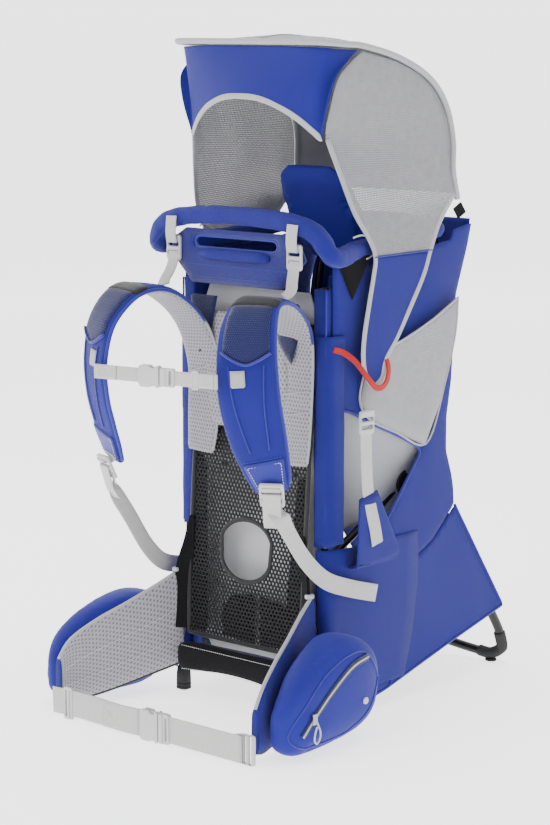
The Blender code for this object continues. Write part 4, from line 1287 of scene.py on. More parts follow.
def make_seat(m):
    stations = [(0.107, 0.318, 0.058, 0.012), (0.120, 0.312, 0.094, 0.022),
                (0.175, 0.310, 0.113, 0.026), (0.225, 0.316, 0.112, 0.022),
                (0.238, 0.323, 0.082, 0.012)]
    rows = smooth(stations, 3)
    frames = [(Vector((0.0, y, z)), X_AXIS, Z_AXIS) for y, z, _, _ in rows]
    item = loft("seat_cushion", frames, [r[2] for r in rows], [r[3] for r in rows],
                section(24, 3.0), m["lining"])
    item = puff(item, 0.004)
    attach(item, "child_seat", "seat_pad")
    for sign in (-1, 1):
        stitch("child_seat", [Vector((sign * 0.030, y, z + 0.0155))
                              for y, z, _, _ in smooth(stations[1:4], 6)])


def make_headrest(m):
    stations = [(0.206, 0.618, 0.096, 0.010), (0.190, 0.650, 0.142, 0.016),
                (0.162, 0.705, 0.151, 0.016), (0.140, 0.745, 0.126, 0.014),
                (0.132, 0.761, 0.084, 0.009)]
    rows = smooth(stations, 3)
    through = Vector((0.0, 0.89, 0.45)).normalized()
    frames = [(Vector((0.0, y, z)), X_AXIS, through) for y, z, _, _ in rows]
    item = loft("headrest_cushion", frames, [r[2] for r in rows], [r[3] for r in rows],
                section(28, 3.0), m["blue"])
    item = puff(item, 0.0045)
    attach(item, "pack", "headrest_pad")
    strap = smooth([(0.0, 0.176, 0.690), (0.0, 0.192, 0.694), (0.0, 0.224, 0.665),
                    (0.0, 0.262, 0.640), (0.0, 0.296, 0.630)], 5)
    attach(webbing("headrest_strap", vectors(strap), 0.020, m["blue_edge"], X_AXIS), "pack")


def make_child_harness(m):
    """Two padded straps joined at a chest buckle."""
    pieces = []
    for sign in (-1, 1):
        route = smooth([(sign * 0.034, 0.230, 0.588), (sign * 0.036, 0.2285, 0.540),
                        (sign * 0.035, 0.2285, 0.480), (sign * 0.028, 0.230, 0.436),
                        (sign * 0.012, 0.230, 0.410)], 5)
        places = vectors(route)
        widths = [0.026 if 2 < i < len(places) - 5 else 0.020 for i in range(len(places))]
        pieces.append(loft("pad", frames_along(places, X_AXIS), widths, 0.0045, PAD, m["blue"]))
    item = join("child_straps", pieces)
    attach(item, "pack", "child_harness")
    chest = [Vector((x * 0.006, 0.2265, 0.510)) for x in range(-6, 7)]
    attach(webbing("child_chest_strap", chest, 0.016, m["webbing"], Z_AXIS), "pack")
    matrix = frame_matrix((0.0, 0.2245, 0.510), X_AXIS, Z_AXIS)
    attach(join("child_buckle", [flat_plate("b", rounded_box(0.030, 0.022, 0.005), 0.004,
                                            m["red_plastic"], matrix,
                                            [rounded_box(0.012, 0.006, 0.002)], 0.0012)]), "pack")


POCKET_OUTLINE = [(0.078, 0.436), (0.100, 0.409), (0.160, 0.383), (0.224, 0.356), (0.262, 0.420),
                  (0.282, 0.500), (0.288, 0.566), (0.230, 0.540), (0.152, 0.514), (0.090, 0.505)]


def pocket_place(sign, y, z, depth=0.02):
    """A place on the side pocket's net, which stands off the bag and closes at its seams."""
    mouth = min(1.0, max(0.0, (z - 0.44) / 0.08))
    stand = 0.0085 * (1 - math.exp(-depth / 0.010)) * (1 - mouth) + 0.0085 * mouth
    folds = 0.0012 * ripple((0.0, y, z), 0.030, sign)
    return Vector((sign * (0.1448 + stand + folds * (stand / 0.0085)), y, z))


def make_side_pocket(m, side, sign):
    item = panel(f"pocket_net_{side}", POCKET_OUTLINE,
                 lambda u, v, d: pocket_place(sign, u, v, d), m["pocket_net"], 0.0065,
                 thickness=0.0009)
    attach(item, "pack", f"side_pocket_{side}")
    top = [pocket_place(sign, y, z, 0.02)
           for y, z in smooth([(0.090, 0.505), (0.152, 0.514), (0.230, 0.540), (0.288, 0.566)], 6)]
    attach(tube(f"pocket_hem_{side}", top, 0.0034, m["gray_edge"], 0.5), "pack")
    low = [pocket_place(sign, y, z, 0.0) for y, z in smooth(
        [(0.288, 0.566), (0.282, 0.500), (0.262, 0.420), (0.226, 0.358), (0.160, 0.383),
         (0.100, 0.409), (0.078, 0.436), (0.080, 0.470), (0.090, 0.505)], 5)]
    attach(tube(f"pocket_seam_{side}", low, 0.0016, m["gray_edge"]), "pack")


GUSSET_OUTLINE = [(0.036, 0.012), (0.090, -0.002), (0.142, 0.008), (0.290, 0.048),
                  (0.424, 0.082), (0.302, 0.2565), (0.250, 0.2105), (0.196, 0.1855),
                  (0.104, 0.1885), (0.036, 0.196)]


def gusset_place(sign, y, z, depth=0.02):
    drape = 0.0030 * (1 - math.exp(-depth / 0.02))
    folds = 0.0030 * ripple((0.1 * y, y, 0.55 * z), 0.06, 1.0 + sign) * min(1.0, depth / 0.02)
    return Vector((sign * (SIDE_X + folds - drape * 0.3), y, z))


def make_gussets(m):
    """The lower cloth on each side, with its seams and hem, and the cloth over the stand, which rides
    on the stand.
    """
    seams = [[(0.176, 0.186), (0.200, 0.140), (0.190, 0.085), (0.150, 0.010)],
             [(0.104, 0.1885), (0.135, 0.120), (0.128, 0.060), (0.100, 0.000)]]
    for side, sign in SIDES.items():
        pieces = [panel(f"gusset_cloth_{side}", GUSSET_OUTLINE,
                        lambda u, v, d: gusset_place(sign, u, v, d), m["blue"], 0.0085)]
        for seam in seams:
            line = [gusset_place(sign, y, z) + X_AXIS * (sign * 0.0012) for y, z in smooth(seam, 8)]
            pieces.append(tube("seam", line, 0.0010, m["blue_edge"]))
        hem = [gusset_place(sign, p.x, p.y, 0.0) for p in spread_along(
            [(y, z, 0.0) for y, z in GUSSET_OUTLINE[:6]], 0.008)]
        pieces.append(tube("hem", hem, 0.0024, m["blue_edge"], 0.8))
        item = join(f"gusset_cloth_{side}", pieces)
        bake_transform(item)
        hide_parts(f"gusset_{side}")
    rows = []
    for i in range(13):
        share = i / 12
        y = 0.3003 + share * 0.1180
        z = 0.2492 - share * 0.1670
        sag = 0.006 * math.sin(math.pi * share)
        rows.append([(0.1195 * (j / 8 - 1), y - sag * (1 - (j / 8 - 1) ** 4) * 0.8,
                      z - sag * (1 - (j / 8 - 1) ** 4) * 0.55
                      + 0.001 * ripple((j * 0.02, y, z), 0.05)) for j in range(17)])
    item = thicken(skin_rows("stand_web", rows, m["blue"]), 0.0014)
    attach(item, "kickstand", "stand_cover")
    make_skirt(m)


def make_skirt(m):
    """The cloth that closes the front of the base between the uprights."""
    rows = []
    for i in range(9):
        z = 0.040 + 0.150 * i / 8
        half = 0.128 - 0.006 * i / 8
        rows.append([(half * (j / 8 - 1), 0.042 + 0.010 * (1 - (j / 8 - 1) ** 2)
                      + 0.002 * ripple((j * 0.02, 0.0, z), 0.04), z) for j in range(17)])
    item = thicken(skin_rows("base_skirt", rows, m["navy"]), 0.0012)
    attach(item, "pack")


# ---------------------------------------------------------------- sunshade

RAIL = [(-0.150, 0.288, 0.7095), (-0.150, 0.277, 0.751), (-0.150, 0.276, 0.794),
        (-0.150, 0.259, 0.844), (-0.150, 0.221, 0.883), (-0.150, 0.154, 0.912),
        (-0.150, 0.078, 0.929), (-0.149, 0.040, 0.932), (-0.141, 0.012, 0.934),
        (-0.115, 0.000, 0.935), (0.0, -0.003, 0.935)]
WING_FRONT = [(0.1500, 0.0730, 0.9225), (0.1490, 0.0450, 0.9040), (0.1475, 0.0245, 0.8840),
              (0.1375, 0.0205, 0.8450), (0.1260, 0.0255, 0.8030), (0.1400, 0.0420, 0.7450),
              (0.1500, 0.0570, 0.7000), (0.1570, 0.0790, 0.6650), (0.1610, 0.0880, 0.6400),
              (0.1610, 0.0840, 0.6140), (0.1610, 0.0740, 0.5730), (0.1620, 0.0630, 0.5280),
              (0.1630, 0.0610, 0.4940), (0.1640, 0.0690, 0.4700), (0.1650, 0.0830, 0.4590)]
WING_REAR = [(0.1500, 0.1400, 0.9090), (0.1500, 0.1950, 0.8900), (0.1500, 0.2340, 0.8635),
             (0.1500, 0.2610, 0.8245), (0.1500, 0.2705, 0.7900), (0.1500, 0.2710, 0.7510),
             (0.1520, 0.2790, 0.7160), (0.1550, 0.2430, 0.6790), (0.1580, 0.2190, 0.6410),
             (0.1600, 0.2020, 0.6080), (0.1620, 0.1700, 0.5640), (0.1630, 0.1380, 0.5220),
             (0.1635, 0.1140, 0.4940), (0.1640, 0.1050, 0.4700), (0.1650, 0.0900, 0.4590)]
WING_SPLIT = 8
WING_SEAM = 4


def with_shade(item, *nodes):
    """Cloth of the shade: it rides on the rail's body with a mesh of its own."""
    attach(item, "sunshade", *nodes)
    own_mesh(item)
    return item


def make_sunshade(m):
    rail = smooth(mirrored(RAIL), 7)
    item = tube("shade_piping", spread_along(vectors(rail), 0.006), 0.0044, m["gray_edge"])
    attach(item, "sunshade", "shade_wire")
    make_shade_top(m)
    make_visor(m)
    for side, sign in SIDES.items():
        make_wing(m, side, sign)
        make_red_loop(m, side, sign)


def make_shade_top(m):
    """The roof: the rails' profile carried across the width and raised along the middle."""
    profile = smooth([(0.0045, 0.935, 0.108), (0.024, 0.934, 0.135), (0.078, 0.929, 0.145),
                      (0.154, 0.912, 0.145), (0.221, 0.883, 0.145), (0.259, 0.844, 0.145),
                      (0.276, 0.794, 0.145), (0.277, 0.751, 0.145), (0.284, 0.718, 0.145)], 5)
    last = len(profile) - 1
    rows = []
    for i, (y, z, half) in enumerate(profile):
        ahead = profile[min(i + 1, last)]
        behind = profile[max(i - 1, 0)]
        outward = Vector((0.0, behind[1] - ahead[1], ahead[0] - behind[0])).normalized()
        crown = 0.030 * abs(math.sin(math.pi * i / last)) ** 2.2
        row = []
        for column in range(25):
            share = column / 12 - 1
            rise = crown * (1 - share * share) + 0.0015 * ripple((share * 0.14, y, z), 0.06)
            row.append(tuple(Vector((share * (half + 0.003), y, z)) + outward * rise))
        rows.append(row)
    item = thicken(skin_rows("shade_roof", rows, m["gray_cloth"]), 0.0010)
    attach(item, "sunshade", "shade_top")
    seam = [Vector(row[12]) + Vector((0.0, 0.0006, 0.0009)) for row in rows[2:-1]]
    attach(tube("roof_seam", seam, 0.0012, m["gray_edge"]), "sunshade")


def make_visor(m):
    """The blue valance from the front rail round the corners to the face arch."""
    seam = [(0.1470, 0.066, 0.924), (0.1470, 0.040, 0.905), (0.1450, 0.020, 0.884),
            (0.1350, 0.016, 0.845), (0.1225, 0.021, 0.803)]
    tops = [(0.0, -0.001, 0.929), (0.036, -0.001, 0.929), (0.072, 0.000, 0.929),
            (0.105, 0.004, 0.928), (0.130, 0.013, 0.927), (0.1420, 0.032, 0.925)]
    arch = [(0.0, -0.012, 0.858), (0.034, -0.010, 0.855), (0.066, -0.004, 0.844),
            (0.092, 0.005, 0.828), (0.110, 0.014, 0.812), (0.1190, 0.019, 0.803)]
    half = [[tuple(Vector(top).lerp(Vector(low), i / 4)) for i in range(5)]
            for top, low in zip(tops, arch)]
    half.append(seam)
    columns = [[(-x, y, z) for x, y, z in column] for column in half[:0:-1]] + half
    item = surface("visor_cloth", columns, m["blue"], 5, 5)
    crumple(item, 0.0010, 0.045)
    item = thicken(item, 0.0012)
    attach(item, "sunshade", "shade_visor")
    edge = [column[-1] for column in columns]
    inner = [column[-2] for column in columns]
    attach(binding("arch_binding", edge, inner, 0.0085, 0.0030, m["gray_edge"]), "sunshade")


def wing_point(front, rear, share):
    place = Vector(front).lerp(Vector(rear), share)
    place.x = front[0] + (rear[0] - front[0]) * share ** 0.6
    return place


def make_wing(m, side, sign):
    """A side wing: net above, packcloth below, with its bound edges."""
    rows = []
    for front, rear in zip(WING_FRONT, WING_REAR):
        rows.append([tuple(wing_point(front, rear, i / 8)) for i in range(9)])
    rows = flipped_rows(rows, sign)
    upper = surface(f"wing_net_{side}", rows[:WING_SPLIT + 1], m["gray_net"], 2, 4)
    lower = surface(f"wing_cloth_{side}", rows[WING_SPLIT:], m["blue"], 2, 4)
    for item, amount in ((upper, 0.0012), (lower, 0.0010)):
        crumple(item, amount, 0.05, sign)
    upper = thicken(upper, 0.0008)
    lower = thicken(lower, 0.0012)
    with_shade(upper, f"shade_side_{side}")
    with_shade(lower)
    edge = flipped(WING_FRONT[WING_SEAM:] + WING_REAR[:5:-1], sign)
    pairs = list(zip(WING_FRONT, WING_REAR))
    inner = flipped([tuple(wing_point(f, r, 0.15)) for f, r in pairs[WING_SEAM:]]
                    + [tuple(wing_point(f, r, 0.85)) for f, r in pairs[:5:-1]], sign)
    with_shade(binding(f"wing_binding_{side}", edge, inner, 0.0085, 0.0030, m["gray_edge"]))
    line = flipped([tuple(wing_point(WING_FRONT[WING_SPLIT], WING_REAR[WING_SPLIT], i / 10)
                          + Vector((0.0012, 0.0, 0.0))) for i in range(11)], sign)
    with_shade(tube(f"wing_seam_{side}", line, 0.0011, m["blue_edge"]))


def flipped_rows(rows, sign):
    """Rows on one side, turned round on the right so that both sides' normals face out."""
    out = [[(sign * x, y, z) for x, y, z in row] for row in rows]
    return [row[::-1] for row in out] if sign > 0 else out


def make_red_loop(m, side, sign):
    """The red webbing loop that holds a wing's tip down to the pack."""
    route = smooth(flipped([(0.1440, 0.022, 0.516), (0.1500, 0.036, 0.511), (0.1590, 0.052, 0.497),
                            (0.1690, 0.066, 0.474), (0.1720, 0.082, 0.459), (0.1720, 0.100, 0.462),
                            (0.1700, 0.110, 0.478), (0.1650, 0.112, 0.494), (0.1560, 0.108, 0.502),
                            (0.1460, 0.104, 0.504)], sign), 6)
    item = webbing(f"red_loop_{side}", vectors(route), 0.0085, m["red_band"], loop_across(route),
                   0.0022)
    attach(item, "pack")


def loop_across(route):
    """Across directions that keep a hanging loop's face turned outwards from the pack."""
    places = vectors(route)
    last = len(places) - 1
    out = []
    for i in range(last + 1):
        along = (places[min(i + 1, last)] - places[max(i - 1, 0)]).normalized()
        out.append(along.cross(X_AXIS).normalized())
    return out


# ---------------------------------------------------------------- shoulder harness

STRAPS = {
    "right": [
        (0.090, 0.0015, 0.350, 0.0, 0.046, 0.010), (0.088, 0.005, 0.400, 0.0, 0.056, 0.011),
        (0.089, 0.007, 0.500, 0.0, 0.060, 0.012), (0.094, -0.008, 0.550, 0.0, 0.062, 0.013),
        (0.102, -0.052, 0.583, 2.0, 0.066, 0.014), (0.109, -0.098, 0.584, 12.0, 0.070, 0.014),
        (0.121, -0.128, 0.540, 28.0, 0.076, 0.015), (0.128, -0.133, 0.470, 32.0, 0.080, 0.015),
        (0.133, -0.119, 0.405, 32.0, 0.074, 0.014), (0.136, -0.102, 0.357, 32.0, 0.058, 0.013),
        (0.138, -0.093, 0.332, 32.0, 0.042, 0.010)],
    "left": [
        (-0.090, 0.0015, 0.350, 0.0, 0.046, 0.010), (-0.088, 0.005, 0.400, 0.0, 0.056, 0.011),
        (-0.089, 0.007, 0.480, 0.0, 0.060, 0.012), (-0.093, -0.020, 0.545, 0.0, 0.062, 0.013),
        (-0.100, -0.075, 0.588, 0.0, 0.066, 0.014), (-0.109, -0.128, 0.590, -6.0, 0.070, 0.014),
        (-0.118, -0.164, 0.553, -18.0, 0.074, 0.015), (-0.125, -0.173, 0.500, -24.0, 0.078, 0.015),
        (-0.128, -0.167, 0.450, -24.0, 0.076, 0.015), (-0.132, -0.150, 0.404, -22.0, 0.068, 0.014),
        (-0.136, -0.134, 0.372, -20.0, 0.054, 0.013), (-0.139, -0.124, 0.352, -18.0, 0.042, 0.010)],
}
SHOULDER_TOP = {"right": 5, "left": 5}
STRAP_LOCKS = {"left": (-0.1460, -0.1330, 0.339, 24.0, -18.0),
               "right": (0.1450, -0.1060, 0.331, 20.0, 32.0)}
STRAP_TAILS = {
    "left": [(-0.116, 0.306), (-0.080, 0.258), (-0.045, 0.208), (-0.010, 0.178), (0.040, 0.166)],
    "right": [(-0.098, 0.299), (-0.055, 0.240), (-0.010, 0.200), (0.040, 0.179), (0.104, 0.160)],
}
STRAP_STEPS = 6


class Strap:
    """A shoulder strap's centre line, with places on its outer face."""

    def __init__(self, side):
        rows = smooth(STRAPS[side], STRAP_STEPS)
        centres = vectors(rows)
        turns = [math.radians(float(row[3])) for row in rows]
        wide = [Vector((math.cos(t), math.sin(t), 0.0)) for t in turns]
        self.frames = frames_along(centres, wide)
        self.widths = [float(row[4]) for row in rows]
        self.depths = [float(row[5]) for row in rows]
        gaps = [(b - a).length for a, b in zip(centres, centres[1:])]
        along = np.concatenate([[0.0], np.cumsum(gaps)])
        self.along = along - along[SHOULDER_TOP[side] * STRAP_STEPS]

    def at(self, u, s, lift=0.0, face=1.0):
        """A place s metres past the shoulder's top and u metres across; face 1 is the outer side."""
        i = int(np.clip(np.searchsorted(self.along, s) - 1, 0, len(self.along) - 2))
        t = (s - self.along[i]) / (self.along[i + 1] - self.along[i])
        ends = []
        for k in (i, i + 1):
            centre, wide, through = self.frames[k]
            share = min(1.0, abs(u) / (self.widths[k] / 2))
            swell = (1.0 - share ** 3.2) ** (1 / 3.2)
            ends.append(centre + wide * u
                        + through * (face * (self.depths[k] / 2 * max(swell, 0.25) + lift)))
        return ends[0].lerp(ends[1], t)

    def half(self, s):
        return float(np.interp(s, self.along, self.widths)) / 2


def make_harness(m):
    for side, sign in SIDES.items():
        strap = Strap(side)
        item = loft(f"shoulder_pad_{side}", strap.frames, strap.widths, strap.depths, PAD,
                    m["gray_pad"])
        item.data.materials.append(m["blue"])
        paint_outer_face(item, strap)
        attach(item, "harness", f"shoulder_harness_{side}")
        make_strap_edges(m, side, strap)
        make_strap_pocket(m, side, strap)
        make_strap_end(m, side, strap)
        make_pad_seams(m, side, strap)
        make_lower_webbing(m, side, sign)
        make_navy_flap(m, side, sign)
    make_back_plate(m)


def make_back_plate(m):
    """The spacer-mesh plate that joins the two back pads over the net."""
    outline = [(-0.070, 0.392), (0.070, 0.392), (0.078, 0.470), (0.068, 0.556), (-0.068, 0.556),
               (-0.078, 0.470)]
    item = panel("harness_plate", outline,
                 lambda u, v, d: Vector((u, 0.0030 - 0.0022 * (1 - math.exp(-d / 0.008)), v)),
                 m["gray_pad"], 0.008, thickness=0.0030)
    attach(item, "harness")
    for z, half in ((0.430, 0.060), (0.500, 0.062)):
        stitch("harness", [Vector((x * half / 10, -0.0006, z - 0.012 * (x / 10) ** 2))
                           for x in range(-10, 11)])


def make_navy_flap(m, side, sign):
    """The navy cloth flap where a shoulder strap leaves its back pad."""
    outline = [(sign * u, v) for u, v in ((0.052, 0.578), (0.104, 0.578), (0.102, 0.530),
                                          (0.088, 0.492), (0.066, 0.520))]
    item = panel(f"navy_flap_{side}", outline,
                 lambda u, v, d: Vector((u, -0.0030 - 0.0016 * (1 - math.exp(-d / 0.006)), v)),
                 m["navy"], 0.007, thickness=0.0012)
    attach(item, "harness")


def make_fin_root(m, side, sign):
    """The black foam that joins a hip fin to the back net."""
    rows = [[(sign * x, y, z) for x, y in row] for z, row in (
        (0.252, ((0.104, 0.0020), (0.108, 0.0010), (0.111, 0.0000))),
        (0.215, ((0.104, 0.0015), (0.112, -0.0020), (0.119, -0.0050))),
        (0.180, ((0.104, 0.0010), (0.116, -0.0050), (0.128, -0.0110))),
        (0.130, ((0.104, 0.0000), (0.118, -0.0080), (0.133, -0.0180))),
        (0.085, ((0.104, -0.0020), (0.117, -0.0100), (0.131, -0.0200))))]
    item = thicken(surface(f"fin_root_{side}", rows, m["black_foam"], 4, 5), 0.0040)
    attach(item, "pack")


def paint_outer_face(item, strap):
    """Blue packcloth on the strap's outer face, spacer mesh on the wearer's side."""
    count = len(PAD)
    rings = len(strap.frames)
    for face in item.data.polygons:
        ring = min(face.vertices) // count
        middle = sum(PAD[i % count][1] for i in face.vertices) / len(face.vertices)
        if ring >= rings - 1 or (middle > 0.05 and strap.along[min(ring, rings - 1)] > -0.16):
            face.material_index = 1


def make_strap_edges(m, side, strap):
    """Binding down both edges of a strap."""
    top = max(strap.along)
    pieces = []
    for hand in (-1, 1):
        line = []
        for s in np.arange(-0.13, top - 0.004, 0.008):
            centre = strap.at(hand * strap.half(s), s, 0.0)
            inner = strap.at(hand * strap.half(s), s, 0.0, -1.0)
            line.append(centre.lerp(inner, 0.5))
        pieces.append(tube("edge", line, 0.0023, m["blue_edge"], 1.3))
    attach(join(f"strap_binding_{side}", pieces), "harness")


def make_strap_pocket(m, side, strap):
    """The stretch pocket on the strap's front, its black band, hem and tab."""
    outer = -1 if side == "left" else 1
    mesh = [(-0.030, 0.006), (0.030, 0.006), (0.033, 0.070), (0.018, 0.080), (0.0, 0.086),
            (-0.018, 0.080), (-0.033, 0.070)]
    item = panel(f"strap_pocket_{side}", mesh,
                 lambda u, v, d: strap.at(u, v, 0.0016 * (1 - math.exp(-d / 0.004)) + 0.0006),
                 m["navy_net"], 0.005, thickness=0.0008)
    attach(item, "harness")
    hem = [strap.at(u, s, 0.0022) for u, s in smooth(
        [(-0.034, 0.071), (-0.018, 0.081), (0.0, 0.087), (0.018, 0.081), (0.034, 0.071)], 5)]
    attach(tube(f"strap_pocket_hem_{side}", hem, 0.0019, m["blue_edge"], 1.4), "harness")
    band = panel(f"strap_band_{side}", [(-0.036, -0.014), (0.036, -0.014), (0.036, 0.006),
                                        (-0.036, 0.006)],
                 lambda u, v, d: strap.at(u * 0.97, v, 0.0016), m["black_edge"], 0.005,
                 thickness=0.0012)
    attach(band, "harness")
    tab = panel(f"strap_tab_{side}", [(-0.010, 0.0), (0.010, 0.0), (0.010, 0.022), (-0.010, 0.022)],
                lambda u, v, d: strap.at(-outer * 0.012 + u, 0.094 + v, 0.0012),
                m["gray_edge"], 0.004, thickness=0.0012)
    attach(tab, "harness")
    for hand in (-0.6, 0.6):
        pleat = [strap.at(hand * strap.half(s) * (1 - 0.35 * (s - 0.1) / 0.1), s, 0.0010)
                 for s in np.linspace(0.088, 0.205, 24)]
        attach(tube(f"strap_pleat_{side}_{'inner' if hand * outer < 0 else 'outer'}", pleat,
                    0.0009, m["blue_edge"]), "harness")


def make_strap_end(m, side, strap):
    """The stitched patch at the strap's lower end, with the loop that holds the ladder lock."""
    end = max(strap.along)
    low = end - 0.052
    outline = [(-0.021, end - 0.003), (0.021, end - 0.003), (0.029, low + 0.002),
               (-0.029, low + 0.002)]
    patch = panel(f"strap_patch_{side}", outline,
                  lambda u, v, d: strap.at(u, min(v, end - 0.001), 0.0012), m["blue_edge"], 0.005,
                  thickness=0.0011)
    attach(patch, "harness")
    stitch("harness", [strap.at(u, s, 0.0022) for u, s in (
        (-0.024, low + 0.007), (0.024, low + 0.007), (0.017, end - 0.008), (-0.017, end - 0.008),
        (-0.024, low + 0.007))])
    stitch("harness", [strap.at(u, low - 0.001, 0.0016) for u in np.linspace(-0.028, 0.028, 12)],
           thread="blue")
    x, y, z, lean, turn = STRAP_LOCKS[side]
    spin = Matrix.Rotation(math.radians(turn), 4, "Z") @ Matrix.Rotation(math.radians(lean), 4, "X")
    across = (spin @ X_AXIS).normalized()
    along = (spin @ Z_AXIS).normalized()
    matrix = frame_matrix((x, y, z), across, along)
    lock = ladder_lock(f"strap_buckle_{side}", matrix, 0.026, 0.034, 0.036, 0.0068, m["plastic"])
    attach(lock, "harness", f"strap_lock_{side}")
    out = (spin @ -Y_AXIS).normalized()
    start = strap.at(0.0, end - 0.012, 0.0018)
    bar = Vector((x, y, z)) + along * 0.0125
    loop = vectors(smooth([start, strap.at(0.0, end - 0.002, 0.0026), bar + out * 0.0042,
                           bar + out * 0.0030 - along * 0.006], 5))
    attach(webbing(f"strap_loop_{side}", loop, 0.025, m["webbing"], across), "harness")


def make_pad_seams(m, side, strap):
    """Seams and piping on the pad against the wearer's shoulder blade."""
    for s in (-0.235, -0.205):
        if s < strap.along[0] + 0.012:
            continue
        slope = 0.10 if side == "right" else 0.16
        line = [strap.at(u * strap.half(s) * 0.92, s + slope * u * 0.05, 0.0003, -1.0)
                for u in np.linspace(-1, 1, 13)]
        attach(tube(f"pad_seam_{side}_{int(-s * 1000)}", line, 0.0010, m["gray_edge"]), "harness")
    for hand in (-1, 1):
        line = []
        for s in np.arange(strap.along[0] + 0.004, -0.125, 0.008):
            a = strap.at(hand * strap.half(s), s)
            b = strap.at(hand * strap.half(s), s, 0.0, -1.0)
            line.append(a.lerp(b, 0.5))
        attach(tube(f"pad_piping_{side}_{'a' if hand < 0 else 'b'}", line, 0.0021,
                    m["gray_edge"]), "harness")


def make_lower_webbing(m, side, sign):
    """The adjusting strap from the ladder lock down to the hip belt's seam, with its loose end."""
    x, y, z, lean, turn = STRAP_LOCKS[side]
    spin = Matrix.Rotation(math.radians(turn), 4, "Z") @ Matrix.Rotation(math.radians(lean), 4, "X")
    across = (spin @ X_AXIS).normalized()
    along = (spin @ Z_AXIS).normalized()
    out = (spin @ -Y_AXIS).normalized()
    lock = Vector((x, y, z))
    tail = vectors(smooth([(sign * 0.155, py, pz) for py, pz in STRAP_TAILS[side]], 4))
    start = [lock + along * 0.002 + out * 0.0030, lock - along * 0.010 + out * 0.0010,
             lock - along * 0.024 - out * 0.0006]
    route = vectors(smooth(start + tail, 3))
    share = [min(1.0, i / 16) for i in range(len(route))]
    sideways = []
    for i, t in enumerate(share):
        ahead = (route[min(i + 1, len(route) - 1)] - route[max(i - 1, 0)]).normalized()
        flat = ahead.cross(X_AXIS).normalized()
        if flat.dot(across) < 0:
            flat.negate()
        sideways.append(across.lerp(flat, t * t * (3 - 2 * t)).normalized())
    item = webbing(f"lower_strap_{side}", route, 0.0252, m["webbing"], sideways)
    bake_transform(item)
    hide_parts(f"lower_webbing_{side}")
    loose = vectors(smooth([lock + along * 0.004 + out * 0.0045, lock - along * 0.016 + out * 0.007,
                            lock - along * 0.034 + out * 0.009,
                            lock - along * 0.048 + out * 0.006], 5))
    attach(webbing(f"strap_tail_{side}", loose, 0.0252, m["webbing"], across), "harness")


# ---------------------------------------------------------------- chest strap and belt

def along_sternum(distance, height=0.0, out=0.0):
    return Vector((distance * math.cos(STERNUM_TURN) + out * math.sin(STERNUM_TURN),
                   STERNUM_Y + distance * math.sin(STERNUM_TURN) - out * math.cos(STERNUM_TURN),
                   STERNUM_Z + height))


def sternum_matrix(distance, out=0.0):
    along = Vector((math.cos(STERNUM_TURN), math.sin(STERNUM_TURN), 0.0))
    return frame_matrix(along_sternum(distance, 0.0, out), along, Z_AXIS)


def box_stitch(body, place, length, width, thread="pale"):
    """A bar-tacked box: a rectangle and its diagonals. place(u, v) gives places on the strap."""
    a = length / 2
    b = width / 2
    for line in ([(-a, -b), (a, -b), (a, b), (-a, b), (-a, -b)], [(-a, -b), (a, b)],
                 [(-a, b), (a, -b)]):
        points = [place(*p) for p in line]
        stitch(body, points, 0.0030, 0.0021, thread)


def make_sternum(m):
    """The chest strap with its side-release buckle."""
    left = [along_sternum(d) for d in np.linspace(-0.098, -0.014, 14)]
    strap = webbing("strap", left, 0.0198, m["webbing"], Z_AXIS)
    fold = webbing("fold", [along_sternum(d, 0.0, 0.0016) for d in np.linspace(-0.096, -0.060, 8)],
                   0.0198, m["webbing"], Z_AXIS)
    socket = buckle_socket("socket", sternum_matrix(-0.0045), 0.033, 0.030, 0.0100, m["plastic"])
    attach(join("chest_strap_socket", [strap, fold, socket]), "sternum_strap",
           "sternum_socket_strap")
    box_stitch("sternum_strap", lambda u, v: along_sternum(-0.078 + u, v, 0.0030), 0.022, 0.013)
    right = [along_sternum(d) for d in np.linspace(0.030, 0.105, 14)]
    strap = webbing("strap", right, 0.0198, m["webbing"], Z_AXIS)
    fold = webbing("fold", [along_sternum(d, 0.0, 0.0016) for d in np.linspace(0.040, 0.100, 10)],
                   0.0198, m["webbing"], Z_AXIS)
    tongue = buckle_tongue("tongue", sternum_matrix(0.0245), 0.0232, 0.026, 0.0086, m["plastic"])
    slide = tri_glide("slide", sternum_matrix(0.070, 0.0014), 0.020, 0.011, 0.026, 0.0034,
                      m["plastic"])
    attach(join("chest_strap_tongue", [strap, fold, tongue, slide]), "sternum_tongue",
           "sternum_tongue_strap")
    box_stitch("sternum_tongue", lambda u, v: along_sternum(0.089 + u, v, 0.0030), 0.018, 0.013)


def buckle_socket(name, matrix, length, height, thickness, finish):
    """The female half: two shells round an open middle, a strap bar and side windows."""
    notch = height * 0.30
    a = length / 2
    b = height / 2
    outline = [(-a, -b + 0.003), (-a + 0.003, -b), (a * 0.05, -b), (a * 0.20, -b + notch * 0.30),
               (a * 0.62, -b + notch * 0.30), (a * 0.74, -b), (a - 0.002, -b), (a, -b + 0.002)]
    outline += [(u, -v) for u, v in outline[::-1]]
    window = [(u - a * 0.10, v) for u, v in rounded_box(length * 0.34, height * 0.26, 0.0022, 4)]
    pieces = []
    for hand in (-1, 1):
        shell = matrix @ Matrix.Translation((0.0, 0.0, hand * thickness * 0.36))
        pieces.append(flat_plate("shell", outline, thickness * 0.28, finish, shell,
                                 [window] if hand < 0 else (), 0.0010))
    bar = matrix @ Matrix.Translation((-a * 0.76, 0.0, 0.0))
    pieces.append(flat_plate("bar", rounded_box(length * 0.22, height * 0.94, 0.002),
                             thickness * 0.72, finish, bar, (), 0.0010))
    rib = matrix @ Matrix.Translation((a * 0.60, 0.0, -thickness * 0.50))
    pieces.append(flat_plate("rib", rounded_box(0.0022, height * 0.40, 0.001), 0.0014, finish, rib,
                             (), 0.0005))
    return join(name, pieces)


